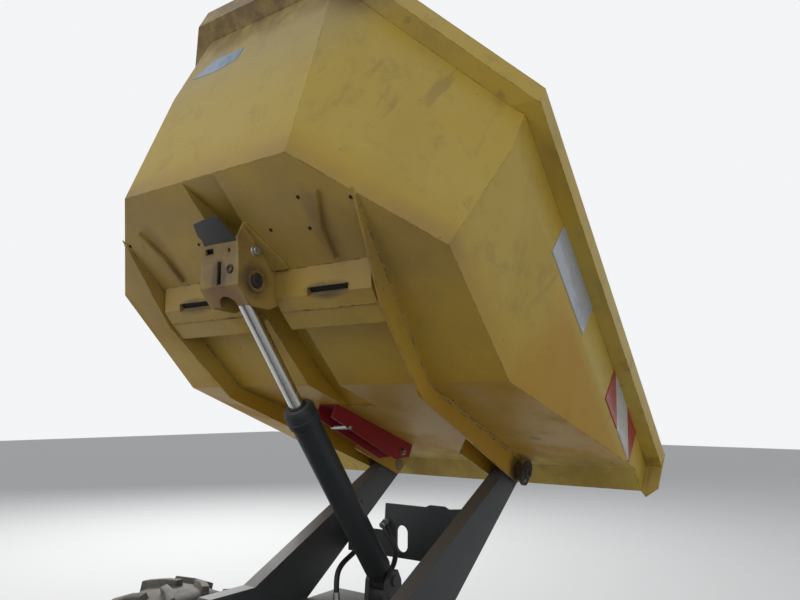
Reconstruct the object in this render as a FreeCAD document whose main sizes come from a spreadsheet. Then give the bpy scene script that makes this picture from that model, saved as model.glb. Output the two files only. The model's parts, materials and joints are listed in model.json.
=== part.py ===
import FreeCAD, Part

import math
import os

import Sketcher
from FreeCAD import Placement, Rotation, Vector

# Articulated site dumper with its skip tipped forward.
# +X is forward, +Y is the driver's left, +Z is up. The origin lies on the ground,
# in the middle of the machine's box. The steering pivot is at X = 0.
# Pieces of the skip are drawn with the skip lowered and the tip pivot at zero,
# and are then turned about that pivot.

# Driving sizes in millimetres and degrees: (name, value)
SIZES = [
    # Ground plan
    ("wheel_base_half", 1000.0),
    ("axle_height", 425.0),
    ("steer_height", 560.0),
    ("tip_pivot_x", 1850.0),
    ("tip_pivot_height", 1270.0),
    ("tip_rest_angle", 45.4),
    # Skip, seen from the side and from above
    ("floor_drop", 350.0),
    ("kink_back", 820.0),
    ("slope_angle", 26.565),
    ("slope_end", 36.0),
    ("floor_rear", 1660.0),
    ("floor_half", 725.0),
    ("rear_fold_out", 180.0),
    ("rear_half", 367.0),
    ("fold_height", 383.0),
    ("side_flare", 82.0),
    ("rear_upper_lean", 92.0),
    ("side_rim_height", 609.0),
    ("rim_rise", 100.0),
    ("rim_rise_start", 1445.0),
    ("rim_rise_length", 420.0),
    ("skip_wall", 6.0),
    ("rim_width", 58.0),
    ("rim_depth", 68.0),
    ("lip_end", 143.0),
    ("lip_end_height", 63.0),
    ("lip_plate", 8.0),
    ("rim_front", 150.0),
    ("flange_reach", 61.0),
    ("tunnel_half", 72.0),
    ("tunnel_rise", 78.0),
    ("tunnel_front", 620.0),
    ("tunnel_rear", 1440.0),
    ("tunnel_ramp", 215.0),
    # Ribs and cross member under the skip
    ("rib_depth", 75.0),
    ("rib_web", 8.0),
    ("rib_inner_half", 256.0),
    ("rib_outer_front", 343.0),
    ("rib_outer_rear", 436.0),
    ("rib_rear", 1520.0),
    ("rib_runout", 334.0),
    ("inner_web_length", 290.0),
    ("cross_member_back", 1190.0),
    ("cross_member_length", 70.0),
    ("cross_member_depth", 65.0),
    # Tip pins and ram
    ("arm_inner_half", 275.0),
    ("arm_width", 60.0),
    ("tip_pin_radius", 25.0),
    ("tip_boss_radius", 36.0),
    ("tip_boss_out", 380.0),
    ("pin_gap", 0.05),
    ("ram_base_back", 462.0),
    ("ram_base_drop", 385.0),
    ("ram_eye_back", 1330.0),
    ("ram_eye_drop", 438.0),
    ("barrel_radius", 50.0),
    ("barrel_length", 812.0),
    ("barrel_neck", 62.0),
    ("rod_radius", 25.0),
    ("ram_eye_radius", 35.0),
    ("ram_eye_half", 30.0),
    ("ram_pin_radius", 20.0),
    ("cheek_half", 87.0),
    ("cheek_plate", 12.0),
    ("cover_plate", 8.0),
    ("bracket_depth", 155.0),
    ("bracket_rear", 160.0),
    ("bracket_front", 130.0),
    # Safety prop stowed under the skip
    ("prop_inner", 100.0),
    ("prop_width", 90.0),
    ("prop_front", 154.0),
    ("prop_rear", 640.0),
    ("prop_wall", 6.0),
    # Front frame
    ("arm_tip_radius", 48.0),
    ("plate", 12.0),
    ("spine_half", 110.0),
    ("spine_bottom", 440.0),
    ("spine_top", 680.0),
    ("spine_rear", 110.0),
    ("lug_plate", 30.0),
    ("steer_pin_radius", 30.0),
    ("steer_lug_radius", 70.0),
    ("yoke_hub_radius", 66.0),
    ("roll_shaft_radius", 55.0),
    ("roll_tube_radius", 78.0),
    ("roll_tube_front", 110.0),
    ("roll_tube_length", 200.0),
    # Steering ram
    ("steer_ram_half", 190.0),
    ("steer_ram_base", 520.0),
    ("steer_ram_eye", 30.0),
    ("steer_barrel_radius", 32.0),
    ("steer_rod_radius", 16.0),
    ("steer_barrel_length", 330.0),
    # Wheels
    ("tyre_radius", 425.0),
    ("tyre_width", 300.0),
    ("wheel_track_half", 740.0),
    ("rim_radius", 197.0),
    ("lug_height", 26.0),
    ("axle_radius", 62.0),
    ("hub_radius", 92.0),
    ("spindle_radius", 38.0),
    ("eye_hole_radius", 22.0),
    ("tow_pin_radius", 16.0),
    # Rear body
    ("rear_end", 1975.0),
    ("frame_half", 190.0),
    ("frame_plate", 20.0),
    ("frame_bottom", 510.0),
    ("frame_top", 640.0),
    ("bulkhead_x", 150.0),
    ("floor_plate", 8.0),
    ("deck_front", 320.0),
    ("deck_rear", 640.0),
    ("hood_front", 1222.0),
    ("hood_rear", 1965.0),
    ("hood_half", 430.0),
    ("hood_bottom", 770.0),
    ("hood_top", 1260.0),
    ("hood_wall", 8.0),
    ("rops_x", 1160.0),
    ("rops_half", 400.0),
    ("rops_tube", 35.0),
    ("machine_height", 2740.0),
    ("weight_length", 164.74),
    ("tyre_clear", 35.0),
    ("step_length", 200.0),
    ("rest_gap", 6.0),
    ("seat_gap", 0.3),
    ("step_height", 372.0),
    ("step_reach", 130.0),
    ("tank_rear", 1105.0),
    ("tank_bottom", 520.0),
    ("tank_top", 860.0),
    ("tank_chamfer", 34.0),
    ("engine_front", 1260.0),
    ("engine_rear", 1790.0),
    ("engine_half", 215.0),
    ("engine_top", 1170.0),
    ("hood_shoulder", 90.0),
    ("vent_half", 300.0),
    ("vent_low", 850.0),
    ("vent_high", 1120.0),
    ("weight_low", 430.0),
    ("weight_high", 760.0),
    ("weight_chamfer", 60.0),
    ("rops_bend", 110.0),
    ("console_half", 180.0),
    ("lever_length", 150.0),
    ("seat_x", 890.0),
    ("seat_half", 235.0),
    ("seat_base_half", 189.7),
    ("hood_hinge_x", 1940.0),
    ("hood_hinge_height", 772.0),
    ("rops_pivot_height", 1790.0),
    ("seat_height", 1040.0),
    ("wheel_hoop_radius", 185.0),
]

doc = FreeCAD.newDocument("site_dumper")
sheet = doc.addObject("Spreadsheet::Sheet", "sizes")


class Size:
    """A number that also knows the sheet expression it comes from."""

    def __init__(self, value, text):
        self.value = value
        self.text = text

    def __add__(self, other):
        return Size(self.value + number(other), f"({self.text} + {words(other)})")

    def __sub__(self, other):
        return Size(self.value - number(other), f"({self.text} - {words(other)})")

    def __mul__(self, other):
        return Size(self.value * number(other), f"({self.text} * {words(other)})")

    def __truediv__(self, other):
        return Size(self.value / number(other), f"({self.text} / {words(other)})")

    def __neg__(self):
        return Size(-self.value, f"(-1 * {self.text})")

    __radd__ = __add__
    __rmul__ = __mul__

    def __rsub__(self, other):
        return -self + other


def number(item):
    return item.value if isinstance(item, Size) else float(item)


def words(item):
    return item.text if isinstance(item, Size) else f"{float(item):.6f}"


class Sheet:
    """Attribute access to the driving sizes."""

    def __init__(self):
        for row, (name, value) in enumerate(SIZES, start=1):
            sheet.set(f"A{row}", name)
            sheet.set(f"B{row}", str(value))
            sheet.setAlias(f"B{row}", name)
            setattr(self, name, Size(value, f"sizes.{name}"))


S = Sheet()
doc.recompute()
NODES = {}


def bind(item, prop, size):
    """Tie one property to the sheet, or set it where it is a bare number."""
    if isinstance(size, Size):
        item.setExpression(prop, size.text)
        return
    names = prop.split(".")
    if names[0] == "Placement":
        place = item.Placement
        base = place.Base
        setattr(base, names[-1], float(size))
        item.Placement = Placement(base, place.Rotation)
        return
    setattr(item, prop, float(size))


def place(item, x, y, z):
    for axis, size in zip("xyz", (x, y, z)):
        bind(item, f"Placement.Base.{axis}", size)


def node(item, label):
    """Name a finished sub-part."""
    item.Label = label
    NODES[label] = item
    return item


def unique(name):
    count = 1
    while doc.getObject(f"{name}_{count}"):
        count += 1
    return f"{name}_{count}"


def box(name, low, high):
    item = doc.addObject("Part::Box", unique(name))
    for prop, first, last in zip(("Length", "Width", "Height"), low, high):
        bind(item, prop, last - first)
    place(item, *low)
    return item


TURN = {"x": Rotation(Vector(0, 1, 0), 90), "y": Rotation(Vector(1, 0, 0), -90), "z": Rotation()}


def rod(name, start, axis, radius, length):
    """A cylinder from a start point along +X, +Y or +Z."""
    item = doc.addObject("Part::Cylinder", unique(name))
    bind(item, "Radius", radius)
    bind(item, "Height", length)
    item.Placement = Placement(Vector(), TURN[axis])
    place(item, *start)
    return item


PLANES = {"XY": "XY_Plane", "XZ": "XZ_Plane", "YZ": "YZ_Plane"}


def outline(name, plane, points):
    """A body and its closed sketch through the points."""
    body = doc.addObject("PartDesign::Body", unique(name))
    sketch = body.newObject("Sketcher::SketchObject", unique(name + "_sketch"))
    origin = next(f for f in body.Origin.OriginFeatures if f.Role == PLANES[plane])
    sketch.AttachmentSupport = [(origin, "")]
    sketch.MapMode = "FlatFace"
    count = len(points)
    spots = [Vector(number(u), number(v), 0) for u, v in points]
    for i in range(count):
        sketch.addGeometry(Part.LineSegment(spots[i], spots[(i + 1) % count]), False)
    for i in range(count):
        sketch.addConstraint(Sketcher.Constraint("Coincident", i, 2, (i + 1) % count, 1))
    for i, (u, v) in enumerate(points):
        for kind, size in (("DistanceX", u), ("DistanceY", v)):
            index = sketch.addConstraint(Sketcher.Constraint(kind, -1, 1, i, 1, number(size)))
            if isinstance(size, Size):
                sketch.setExpression(f"Constraints[{index}]", size.text)
    return body, sketch


def prism(name, plane, points, start, length):
    """A padded sketch. XZ pads towards -Y, XY towards +Z and YZ towards +X from the start."""
    body, sketch = outline(name, plane, points)
    offset = -start if plane == "XZ" else start
    if isinstance(offset, Size):
        sketch.setExpression("AttachmentOffset.Base.z", offset.text)
    else:
        sketch.AttachmentOffset = Placement(Vector(0, 0, offset), Rotation())
    pad = body.newObject("PartDesign::Pad", unique(name + "_pad"))
    pad.Profile = sketch
    bind(pad, "Length", length)
    body.Tip = pad
    return body


def turned(name, plane, points):
    """A section of (radius, height) points turned about the vertical axis of its plane."""
    body, sketch = outline(name, plane, points)
    turn = body.newObject("PartDesign::Revolution", unique(name + "_turn"))
    turn.Profile = sketch
    turn.ReferenceAxis = (sketch, ["V_Axis"])
    turn.Angle = 360
    body.Tip = turn
    return body


def fuse(name, items):
    item = doc.addObject("Part::MultiFuse", unique(name))
    item.Shapes = items
    item.Refine = True
    return item


def cut(name, base, tools):
    tool = tools[0] if len(tools) == 1 else fuse(name + "_tools", tools)
    item = doc.addObject("Part::Cut", unique(name))
    item.Base = base
    item.Tool = tool
    item.Refine = True
    return item


def feature(name, shape):
    item = doc.addObject("Part::Feature", unique(name))
    item.Shape = shape
    return item


def on_skip(item):
    """Turn a piece drawn in the lowered skip to the tipped pose."""
    item.Placement = Placement(Vector(), Rotation(Vector(0, 1, 0), S.tip_rest_angle.value))
    item.setExpression("Placement.Rotation.Angle", f"{S.tip_rest_angle.text} * 1deg")
    place(item, S.tip_pivot_x, 0, S.tip_pivot_height)
    return item


def mirrored(low, high):
    """The two spans of a left and a right piece, from its inner and outer half widths."""
    return ((low, high), (-high, -low))


# Skip shell: a hollow body bounded by flat plates


def half_space(point, normal, reach=6000.0):
    """The solid half of space behind a plate's outer face."""
    normal = Vector(*normal)
    normal.normalize()
    side = normal.cross(Vector(0, 0, 1))
    if side.Length < 1e-6:
        side = Vector(1, 0, 0)
    side.normalize()
    other = normal.cross(side)
    corners = [side * a + other * b for a, b in ((-1, -1), (1, -1), (1, 1), (-1, 1))]
    points = [Vector(*point) + c * reach for c in corners]
    face = Part.Face(Part.makePolygon(points + points[:1]))
    return face.extrude(normal * -reach)


def skip_plates():
    """Outer faces as (point, outward normal), relative to the tip pivot."""
    v = {name: getattr(S, name).value for name, _ in SIZES}
    floor_z = -v["floor_drop"]
    fold_z = floor_z + v["fold_height"]
    kink_x = -v["kink_back"]
    rise = math.radians(v["slope_angle"])
    rear_x = -v["floor_rear"]
    fold_x = rear_x - v["rear_fold_out"]
    fold_side = v["floor_half"] + v["side_flare"]
    bevel_x = rear_x + (v["floor_half"] - v["rear_half"])
    up = v["side_rim_height"] - v["fold_height"]
    lean_up = v["rear_upper_lean"] / up
    lean_low = v["rear_fold_out"] / v["fold_height"]
    flare = v["side_flare"] / v["fold_height"]
    plates = [
        ((0, 0, floor_z), (0, 0, -1)),
        ((kink_x, 0, floor_z), (math.sin(rise), 0, -math.cos(rise))),
        ((rear_x, 0, floor_z), (-1, 0, -lean_low)),
        ((fold_x, 0, fold_z), (-1, 0, -lean_up)),
    ]
    bevel_flare = v["rear_fold_out"] / v["fold_height"] * 0.86
    for side in (1, -1):
        plates += [
            ((kink_x, side * v["floor_half"], floor_z), (0, side, -flare)),
            ((kink_x, side * fold_side, fold_z), (0, side, -0.01)),
            ((bevel_x, side * v["floor_half"], floor_z), (-1, side, -bevel_flare)),
            ((bevel_x - bevel_flare * v["fold_height"] + v["side_flare"],
              side * fold_side, fold_z), (-1, side, -bevel_flare * 0.55)),
        ]
    return plates


def rim_profile(low, high):
    """The band under the rim's top edge, as XZ points relative to the tip pivot."""
    v = {name: getattr(S, name).value for name, _ in SIZES}
    top = v["side_rim_height"] - v["floor_drop"]
    start = -v["rim_rise_start"]
    back = start - v["rim_rise_length"]
    ends = (4000.0, -4000.0)
    line = [(ends[0], top), (start, top), (back, top + v["rim_rise"]), (ends[1], top + v["rim_rise"])]
    upper = [(x, z + high) for x, z in line]
    lower = [(x, z + low) for x, z in reversed(line)]
    return upper + lower


def xz_slab(points, half=3000.0):
    wire = Part.makePolygon([Vector(x, -half, z) for x, z in points + points[:1]])
    return Part.Face(wire).extrude(Vector(0, 2 * half, 0))


def skip_body(inset, low, high, front):
    """The skip's solid outline, with its plates moved inwards by the inset."""
    solid = xz_slab(rim_profile(low, high))
    for point, normal in skip_plates():
        unit = Vector(*normal)
        unit.normalize()
        moved = Vector(*point) - unit * inset
        solid = solid.common(half_space(moved, normal))
    return solid.common(half_space((front, 0, 0), (1, 0, 0)))


def tunnel(inset, ends):
    """The raised tunnel over the ram, open below."""
    half = S.tunnel_half.value + inset
    floor_z = -S.floor_drop.value
    roof = floor_z + S.tunnel_rise.value + inset
    front = -S.tunnel_front.value
    rear = -S.tunnel_rear.value
    below = 40.0
    ramp = S.tunnel_ramp.value / S.tunnel_rise.value * (roof - floor_z + below)
    points = [
        (rear - ends - ramp, floor_z - below),
        (rear - ends, roof),
        (front + ends - 200.0, roof),
        (front + ends, roof + 30.0),
        (front + ends, floor_z - below),
    ]
    wire = Part.makePolygon([Vector(x, -half, z) for x, z in points + points[:1]])
    return Part.Face(wire).extrude(Vector(0, 2 * half, 0))


wall = S.skip_wall.value
front_cut = S.slope_end.value
outer = skip_body(0.0, -2000.0, 0.0, front_cut)
inner = skip_body(wall, -2000.0, 500.0, front_cut + 10.0)
shell = outer.cut(inner)
cover = tunnel(wall, wall).common(outer)
shell = shell.fuse(cover).cut(tunnel(0.0, 0.0)).removeSplitter()

lip_side = S.floor_half + S.side_flare
LIP_TOP = S.slope_end * 0.5 + (S.kink_back * 0.5 - S.floor_drop)
lip_strip = prism(
    "lip", "XZ",
    [
        (S.slope_end - 1, LIP_TOP),
        (S.lip_end, S.lip_end_height),
        (S.lip_end, S.lip_end_height + S.lip_plate),
        (S.slope_end - 1, LIP_TOP + S.lip_plate),
    ],
    lip_side, lip_side * 2,
)
side_top = S.side_rim_height - S.floor_drop
lip_sides = [
    prism(
        "lip_side", "XZ",
        [
            (S.slope_end - 1, LIP_TOP),
            (S.lip_end, S.lip_end_height),
            (S.rim_front, side_top),
            (S.slope_end - 1, side_top),
        ],
        high, S.skip_wall,
    )
    for high in (lip_side, -lip_side + S.skip_wall)
]
skip_shell = fuse("skip_shell", [feature("skip_plates", shell), lip_strip] + lip_sides)
node(on_skip(skip_shell), "skip_shell")

# Rim: a box section round the sides and rear of the skip
band = xz_slab(rim_profile(-S.rim_depth.value, 0.0))
rim_solid = skip_body(-S.rim_width.value, -S.rim_depth.value, 0.0, S.rim_front.value)
rim_solid = rim_solid.cut(skip_body(0.0, -2000.0, 500.0, front_cut + 2000.0))
flange_low = S.lip_end_height - 23
flanges = []
for side in (1, -1):
    inner_y = (lip_side + 0.2) * side
    outer_y = (lip_side + S.flange_reach) * side
    flanges.append(prism("flange", "YZ", [
        (inner_y, side_top), (inner_y, S.lip_end_height), (inner_y + 20 * side, flange_low),
        (outer_y, flange_low + 45), (outer_y, side_top),
    ], S.rim_front - S.lip_plate, S.lip_plate))
node(on_skip(fuse("rim_flanged", [feature("rim", rim_solid)] + flanges)), "skip_rim")

# Ribs under the skip: webs that straddle the chassis arms
GAP = S.seat_gap
rib_floor = -S.floor_drop
rib_line = [
    (-S.rib_rear, rib_floor),
    (-S.kink_back, rib_floor),
    (S.slope_end, LIP_TOP),
    (S.slope_end, LIP_TOP - 60),
    (S.arm_tip_radius * 0.55, -S.arm_tip_radius * 0.75),
    (-S.kink_back, rib_floor - S.rib_depth + 12),
    (-S.rib_rear + S.rib_runout, rib_floor - S.rib_depth),
]


def toed_web(side):
    """The outer web, set outwards towards the rear."""
    v = [(number(x), number(z)) for x, z in rib_line]
    front, rear = S.rib_outer_front.value, S.rib_outer_rear.value
    slope = (rear - front) / S.kink_back.value
    reach = [side * (front - x * slope) for x, _ in v]
    wire = Part.makePolygon([Vector(x, y, z) for (x, z), y in zip(v, reach)] + [Vector(v[0][0], reach[0], v[0][1])])
    return Part.Face(wire).extrude(Vector(0, side * S.rib_web.value, 0))


webs = [feature("outer_web", toed_web(side)) for side in (1, -1)]
short_line = [
    (-S.inner_web_length, -S.inner_web_length * 0.5 + (S.kink_back * 0.5 - S.floor_drop)),
    (S.slope_end, LIP_TOP),
    (S.slope_end, LIP_TOP - 60),
    (S.arm_tip_radius * 0.55, -S.arm_tip_radius * 0.75),
    (-S.inner_web_length, -S.inner_web_length * 0.5 - 25),
]
for low, high in mirrored(S.rib_inner_half, S.rib_inner_half + S.rib_web):
    webs.append(prism("inner_web", "XZ", short_line, high, S.rib_web))
for side in (1, -1):
    start = S.rib_outer_front + S.rib_web - 1 if side > 0 else -S.tip_boss_out
    webs.append(rod("tip_boss", (0, start, 0), "y", S.tip_boss_radius, S.tip_boss_out - S.rib_outer_front - S.rib_web + 1))
pin_holes = [rod("pin_hole", (0, -500, 0), "y", S.tip_pin_radius + S.pin_gap, 1000)]
ribs = cut("ribs", fuse("ribs_solid", webs), pin_holes)
node(on_skip(ribs), "skip_ribs")

# Cross member: a folded plate on each side of the bracket, with a long slot in its ramp
cross_low = rib_floor - S.cross_member_depth
cross_rear = -S.cross_member_back
cross_front = cross_rear + S.cross_member_length
cross_line = [
    (cross_rear - 115, rib_floor),
    (cross_rear - 50, cross_low + 5),
    (cross_rear, cross_low),
    (cross_front, cross_low),
    (cross_front, rib_floor),
]
rib_toe = (S.rib_outer_rear - S.rib_outer_front) / S.kink_back
cross_half = S.rib_outer_front + rib_toe * (S.cross_member_back - S.cross_member_length) - GAP
cross = []
slots = []
for low, high in mirrored(S.cheek_half + GAP, cross_half):
    cross.append(prism("cross_member", "XZ", cross_line, high, high - low))
for low, high in mirrored(225, 385):
    slots.append(box("cross_slot", (cross_rear - 66, low, cross_low - 10), (cross_rear - 44, high, rib_floor - 8)))
node(on_skip(cut("cross_member_slotted", fuse("cross_member_both", cross), slots)), "skip_cross_member")

# Ram bracket: two cheeks and a folded cover, open to the rear and to the front
eye_back = -S.ram_eye_back
eye_low = -S.ram_eye_drop
bracket_low = rib_floor - S.bracket_depth
bracket_line = [
    (eye_back - S.bracket_rear, rib_floor),
    (eye_back - S.bracket_rear + 20, rib_floor - 58),
    (eye_back - 99, rib_floor - 87),
    (eye_back - 34, bracket_low + 5),
    (eye_back + 40, bracket_low),
    (eye_back + S.bracket_front - 25, rib_floor - 95),
    (eye_back + S.bracket_front, rib_floor),
]
cavity_line = [
    (eye_back - S.bracket_rear - 10, rib_floor + 10),
    (eye_back - S.bracket_rear - 10, rib_floor - 58 + S.cover_plate),
    (eye_back - S.bracket_rear + 22, rib_floor - 58 + S.cover_plate),
    (eye_back - 96, rib_floor - 87 + S.cover_plate),
    (eye_back - 31, bracket_low + 5 + S.cover_plate),
    (eye_back + 40, bracket_low + S.cover_plate),
    (eye_back + 40, bracket_low - 10),
    (eye_back + S.bracket_front + 10, bracket_low - 10),
    (eye_back + S.bracket_front + 10, rib_floor + 10),
]
cheek_in = S.cheek_half - S.cheek_plate
bracket_shell = cut("bracket_shell", prism("bracket_block", "XZ", bracket_line, S.cheek_half, S.cheek_half * 2), [
    prism("bracket_cavity", "XZ", cavity_line, cheek_in, cheek_in * 2),
    rod("arch", (eye_back + 40, 0, bracket_low - 10), "z", S.rod_radius + 13, 40),
    box("slit", (eye_back - 89, -9, bracket_low - 5), (eye_back - 36, 9, rib_floor - 60)),
    box("side_slot", (eye_back - 124, 26, bracket_low), (eye_back - 108, 62, rib_floor - 50)),
    rod("small_hole", (eye_back - 112, -45, bracket_low), "z", 6, 120),
])
stub_clear = S.ram_eye_half + 4
bracket = [bracket_shell]
for start in (stub_clear, -S.cheek_half):
    bracket.append(rod("pin_stub", (eye_back, start, eye_low), "y", S.ram_pin_radius, S.cheek_half - stub_clear))
for low, high in mirrored(S.cheek_half - 1, S.cheek_half + 8):
    ring = rod("pin_boss", (eye_back, low, eye_low), "y", S.ram_pin_radius + 15, high - low)
    bracket.append(cut("pin_ring", ring, [rod("pin_ring_hole", (eye_back, low - 1, eye_low), "y", S.ram_pin_radius + 4, high - low + 2)]))
for side in (1, -1):
    bracket.append(prism("foot_plate", "XY", [
        (eye_back - S.bracket_rear + 5, (S.cheek_half - 1) * side), (eye_back - 5, (S.cheek_half + 63) * side),
        (cross_rear - 121, (S.cheek_half + 63) * side), (cross_rear - 121, (S.cheek_half - 1) * side),
    ], rib_floor - 10, 10))
node(on_skip(fuse("bracket_solid", bracket)), "ram_bracket")

# Safety prop: a channel stowed flat against the slope between the ribs
slope = 0.5


def under_slope(x, depth):
    """A point below the skip's front slope, x back from the tip pivot."""
    return (-x, rib_floor + (S.kink_back - x) * slope - depth)


prop_line = [
    under_slope(S.prop_rear, GAP), under_slope(S.prop_front, GAP), under_slope(S.prop_front - 17, 60),
    under_slope(S.prop_front + 52, 104), under_slope(S.prop_rear - 15, 62),
]
channel_line = [
    under_slope(S.prop_rear + 10, S.prop_wall), under_slope(S.prop_front + 10, S.prop_wall),
    under_slope(S.prop_front + 10, 120), under_slope(S.prop_rear + 10, 120),
]
prop_high = S.prop_inner + S.prop_width
prop = cut("prop", prism("prop_block", "XZ", prop_line, prop_high, S.prop_width), [
    prism("prop_channel", "XZ", channel_line, prop_high - S.prop_wall, S.prop_width - S.prop_wall * 2)])
node(on_skip(prop), "safety_prop")

# Tip pins
pins = []
for start in (S.rib_inner_half - 2, -S.tip_boss_out - 8):
    pins.append(rod("tip_pin", (0, start, 0), "y", S.tip_pin_radius, S.tip_boss_out + 8 - S.rib_inner_half + 2))
pin_compound = doc.addObject("Part::Compound", "tip_pins_both")
pin_compound.Links = pins
node(on_skip(pin_compound), "tip_pins")

# Tip ram: drawn along +Z from its base pin, then leaned to the pin in the bracket
tilt = math.radians(S.tip_rest_angle.value)
eye_x = -S.ram_eye_back.value * math.cos(tilt) - S.ram_eye_drop.value * math.sin(tilt)
eye_z = S.ram_eye_back.value * math.sin(tilt) - S.ram_eye_drop.value * math.cos(tilt)
ram_run = eye_x + S.ram_base_back.value
ram_lift = eye_z + S.ram_base_drop.value
ram_length = math.hypot(ram_run, ram_lift)
ram_lean = math.degrees(math.atan2(ram_run, ram_lift))


def on_ram(item):
    item.Placement = Placement(Vector(), Rotation(Vector(0, 1, 0), ram_lean))
    place(item, S.tip_pivot_x - S.ram_base_back, 0, S.tip_pivot_height - S.ram_base_drop)
    return item


barrel = fuse("barrel", [
    rod("barrel_tube", (0, 0, S.barrel_neck), "z", S.barrel_radius, S.barrel_length - S.barrel_neck),
    box("barrel_root", (-S.ram_eye_radius, -S.ram_eye_half, 0), (S.ram_eye_radius, S.ram_eye_half, S.barrel_neck + 1)),
    rod("barrel_eye", (0, -S.ram_eye_half, 0), "y", S.ram_eye_radius + 5, S.ram_eye_half * 2),
    rod("gland", (0, 0, S.barrel_length - 60), "z", S.barrel_radius + 4, 50),
])
barrel = cut("barrel_bored", barrel, [
    rod("base_hole", (0, -60, 0), "y", S.ram_pin_radius + S.pin_gap, 120),
    rod("rod_bore", (0, 0, 120), "z", S.rod_radius + S.pin_gap, S.barrel_length),
])
node(on_ram(barrel), "tip_ram_barrel")
piston_rod = fuse("piston_rod", [
    rod("rod_bar", (0, 0, 560), "z", S.rod_radius, ram_length - 560),
    rod("rod_eye", (0, -S.ram_eye_half, ram_length), "y", S.ram_eye_radius, S.ram_eye_half * 2),
])
node(on_ram(piston_rod), "tip_ram_rod")

# Front frame: two arms, cross plate, ram base, spine with the steering lugs
PX = S.tip_pivot_x
PZ = S.tip_pivot_height
rest_z = PZ - S.floor_drop - S.cross_member_depth - S.rest_gap
arm_line = [
    (PX - 20, PZ + 43),
    (PX - 860, PZ - 377),
    (PX - 1060, PZ - 377),
    (PX - 1100, rest_z),
    (PX - 1290, rest_z),
    (PX - 1290, PZ - 700),
    (PX - 1010, PZ - 770),
    (PX - 690, PZ - 770),
    (PX - 690, PZ - 545),
    (PX - 610, PZ - 487),
    (PX + 28, PZ - 39),
]
arms = []
for low, high in mirrored(S.arm_inner_half, S.arm_inner_half + S.arm_width):
    arms.append(prism("arm", "XZ", arm_line, high, S.arm_width))
    arms.append(rod("arm_tip", (PX, low, PZ), "y", S.arm_tip_radius, S.arm_width))
arm_holes = [rod("tip_hole", (PX, -500, PZ), "y", S.tip_pin_radius + S.pin_gap, 1000)]
node(cut("arms", fuse("arms_solid", arms), arm_holes), "front_arms")
between = S.arm_inner_half - GAP
plate_top = PZ - 125
plate_low = PZ - 330
notch_low = PZ - 232
cross_plate = prism("cross_plate", "YZ", [
    (-between, plate_top + 6), (-between, plate_low), (between, plate_low), (between, plate_top + 6),
    (S.prop_inner + S.prop_width + 18, plate_top), (S.prop_inner + S.prop_width + 12, notch_low),
    (S.prop_inner - 12, notch_low), (S.prop_inner - 18, plate_top), (-110, plate_top), (-130, plate_top + 9),
    (-195, plate_top + 9), (-215, plate_top),
], PX - 341, S.plate)
hose_hole = [
    box("hose_slot", (PX - 360, -28, PZ - 280), (PX - 310, 28, PZ - 232)),
    rod("hose_slot_end", (PX - 360, 0, PZ - 280), "x", 28, 50),
    rod("hose_slot_end", (PX - 360, 0, PZ - 232), "x", 28, 50),
]
node(cut("cross_plate_slotted", cross_plate, hose_hole), "front_cross_plate")
base_x = PX - S.ram_base_back
base_z = PZ - S.ram_base_drop
lug_line = [
    (base_x - 50, PZ - 480),
    (base_x - 42, base_z),
    (base_x - 20, base_z + 38),
    (base_x + 20, base_z + 38),
    (base_x + 42, base_z),
    (base_x + 55, PZ - 480),
]
ram_base = [box("belly", (PX - 640, -between, PZ - 560), (PX - 400, between, PZ - 470))]
for low, high in mirrored(S.ram_eye_half + 4, S.ram_eye_half + 24):
    ram_base.append(prism("ram_lug", "XZ", lug_line, high, 20))
ram_base.append(rod("base_pin", (base_x, -S.ram_eye_half - 30, base_z), "y", S.ram_pin_radius, S.ram_eye_half * 2 + 60))
tie_x = PX - 362
tie_y = between - 55
for low, high in mirrored(tie_y - 50, tie_y + 50):
    ram_base.append(box("tie_lug", (PX - 401, low, PZ - 520), (tie_x + 34, high, PZ - 495)))
tie_holes = [rod("tie_hole", (tie_x, y, PZ - 600), "z", S.eye_hole_radius, 150) for y in (tie_y, -tie_y)]
node(cut("ram_base", fuse("ram_base_solid", ram_base), tie_holes), "ram_base")
frame_solids = [
    box("rear_beam", (PX - 1290, -between, PZ - 700), (PX - 1190, between, PZ - 530)),
    box("spine", (S.spine_rear, -S.spine_half, S.spine_bottom), (PX - 1180, S.spine_half, S.spine_top)),
]
for bottom in (S.spine_bottom, S.spine_top - S.lug_plate):
    frame_solids.append(rod("steer_lug", (0, 0, bottom), "z", S.steer_lug_radius, S.lug_plate))
    frame_solids.append(box("steer_lug_root", (0, -S.steer_lug_radius, bottom),
                            (S.spine_rear + 1, S.steer_lug_radius, bottom + S.lug_plate)))
steer_hole = rod("steer_hole", (0, 0, 300), "z", S.steer_pin_radius + S.pin_gap, 600)
node(cut("front_frame", fuse("front_frame_solid", frame_solids), [steer_hole]), "front_frame")
mount_y = S.spine_half + GAP
steer_mount = [
    box("mount_foot", (S.steer_ram_base - 22, mount_y, S.steer_height - 50),
        (S.steer_ram_base + 35, mount_y + 12, S.steer_height + 50)),
    rod("steer_base_pin", (S.steer_ram_base, S.steer_ram_half, S.steer_height - 46), "z", 12, 92),
]
for low, high in ((-43, -25), (25, 43)):
    steer_mount.append(box("steer_ram_ear", (S.steer_ram_base - 22, mount_y, S.steer_height + low),
                           (S.steer_ram_base + 25, S.steer_ram_half + 30, S.steer_height + high)))
node(fuse("steer_ram_mount", steer_mount), "steer_ram_mount")


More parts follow.
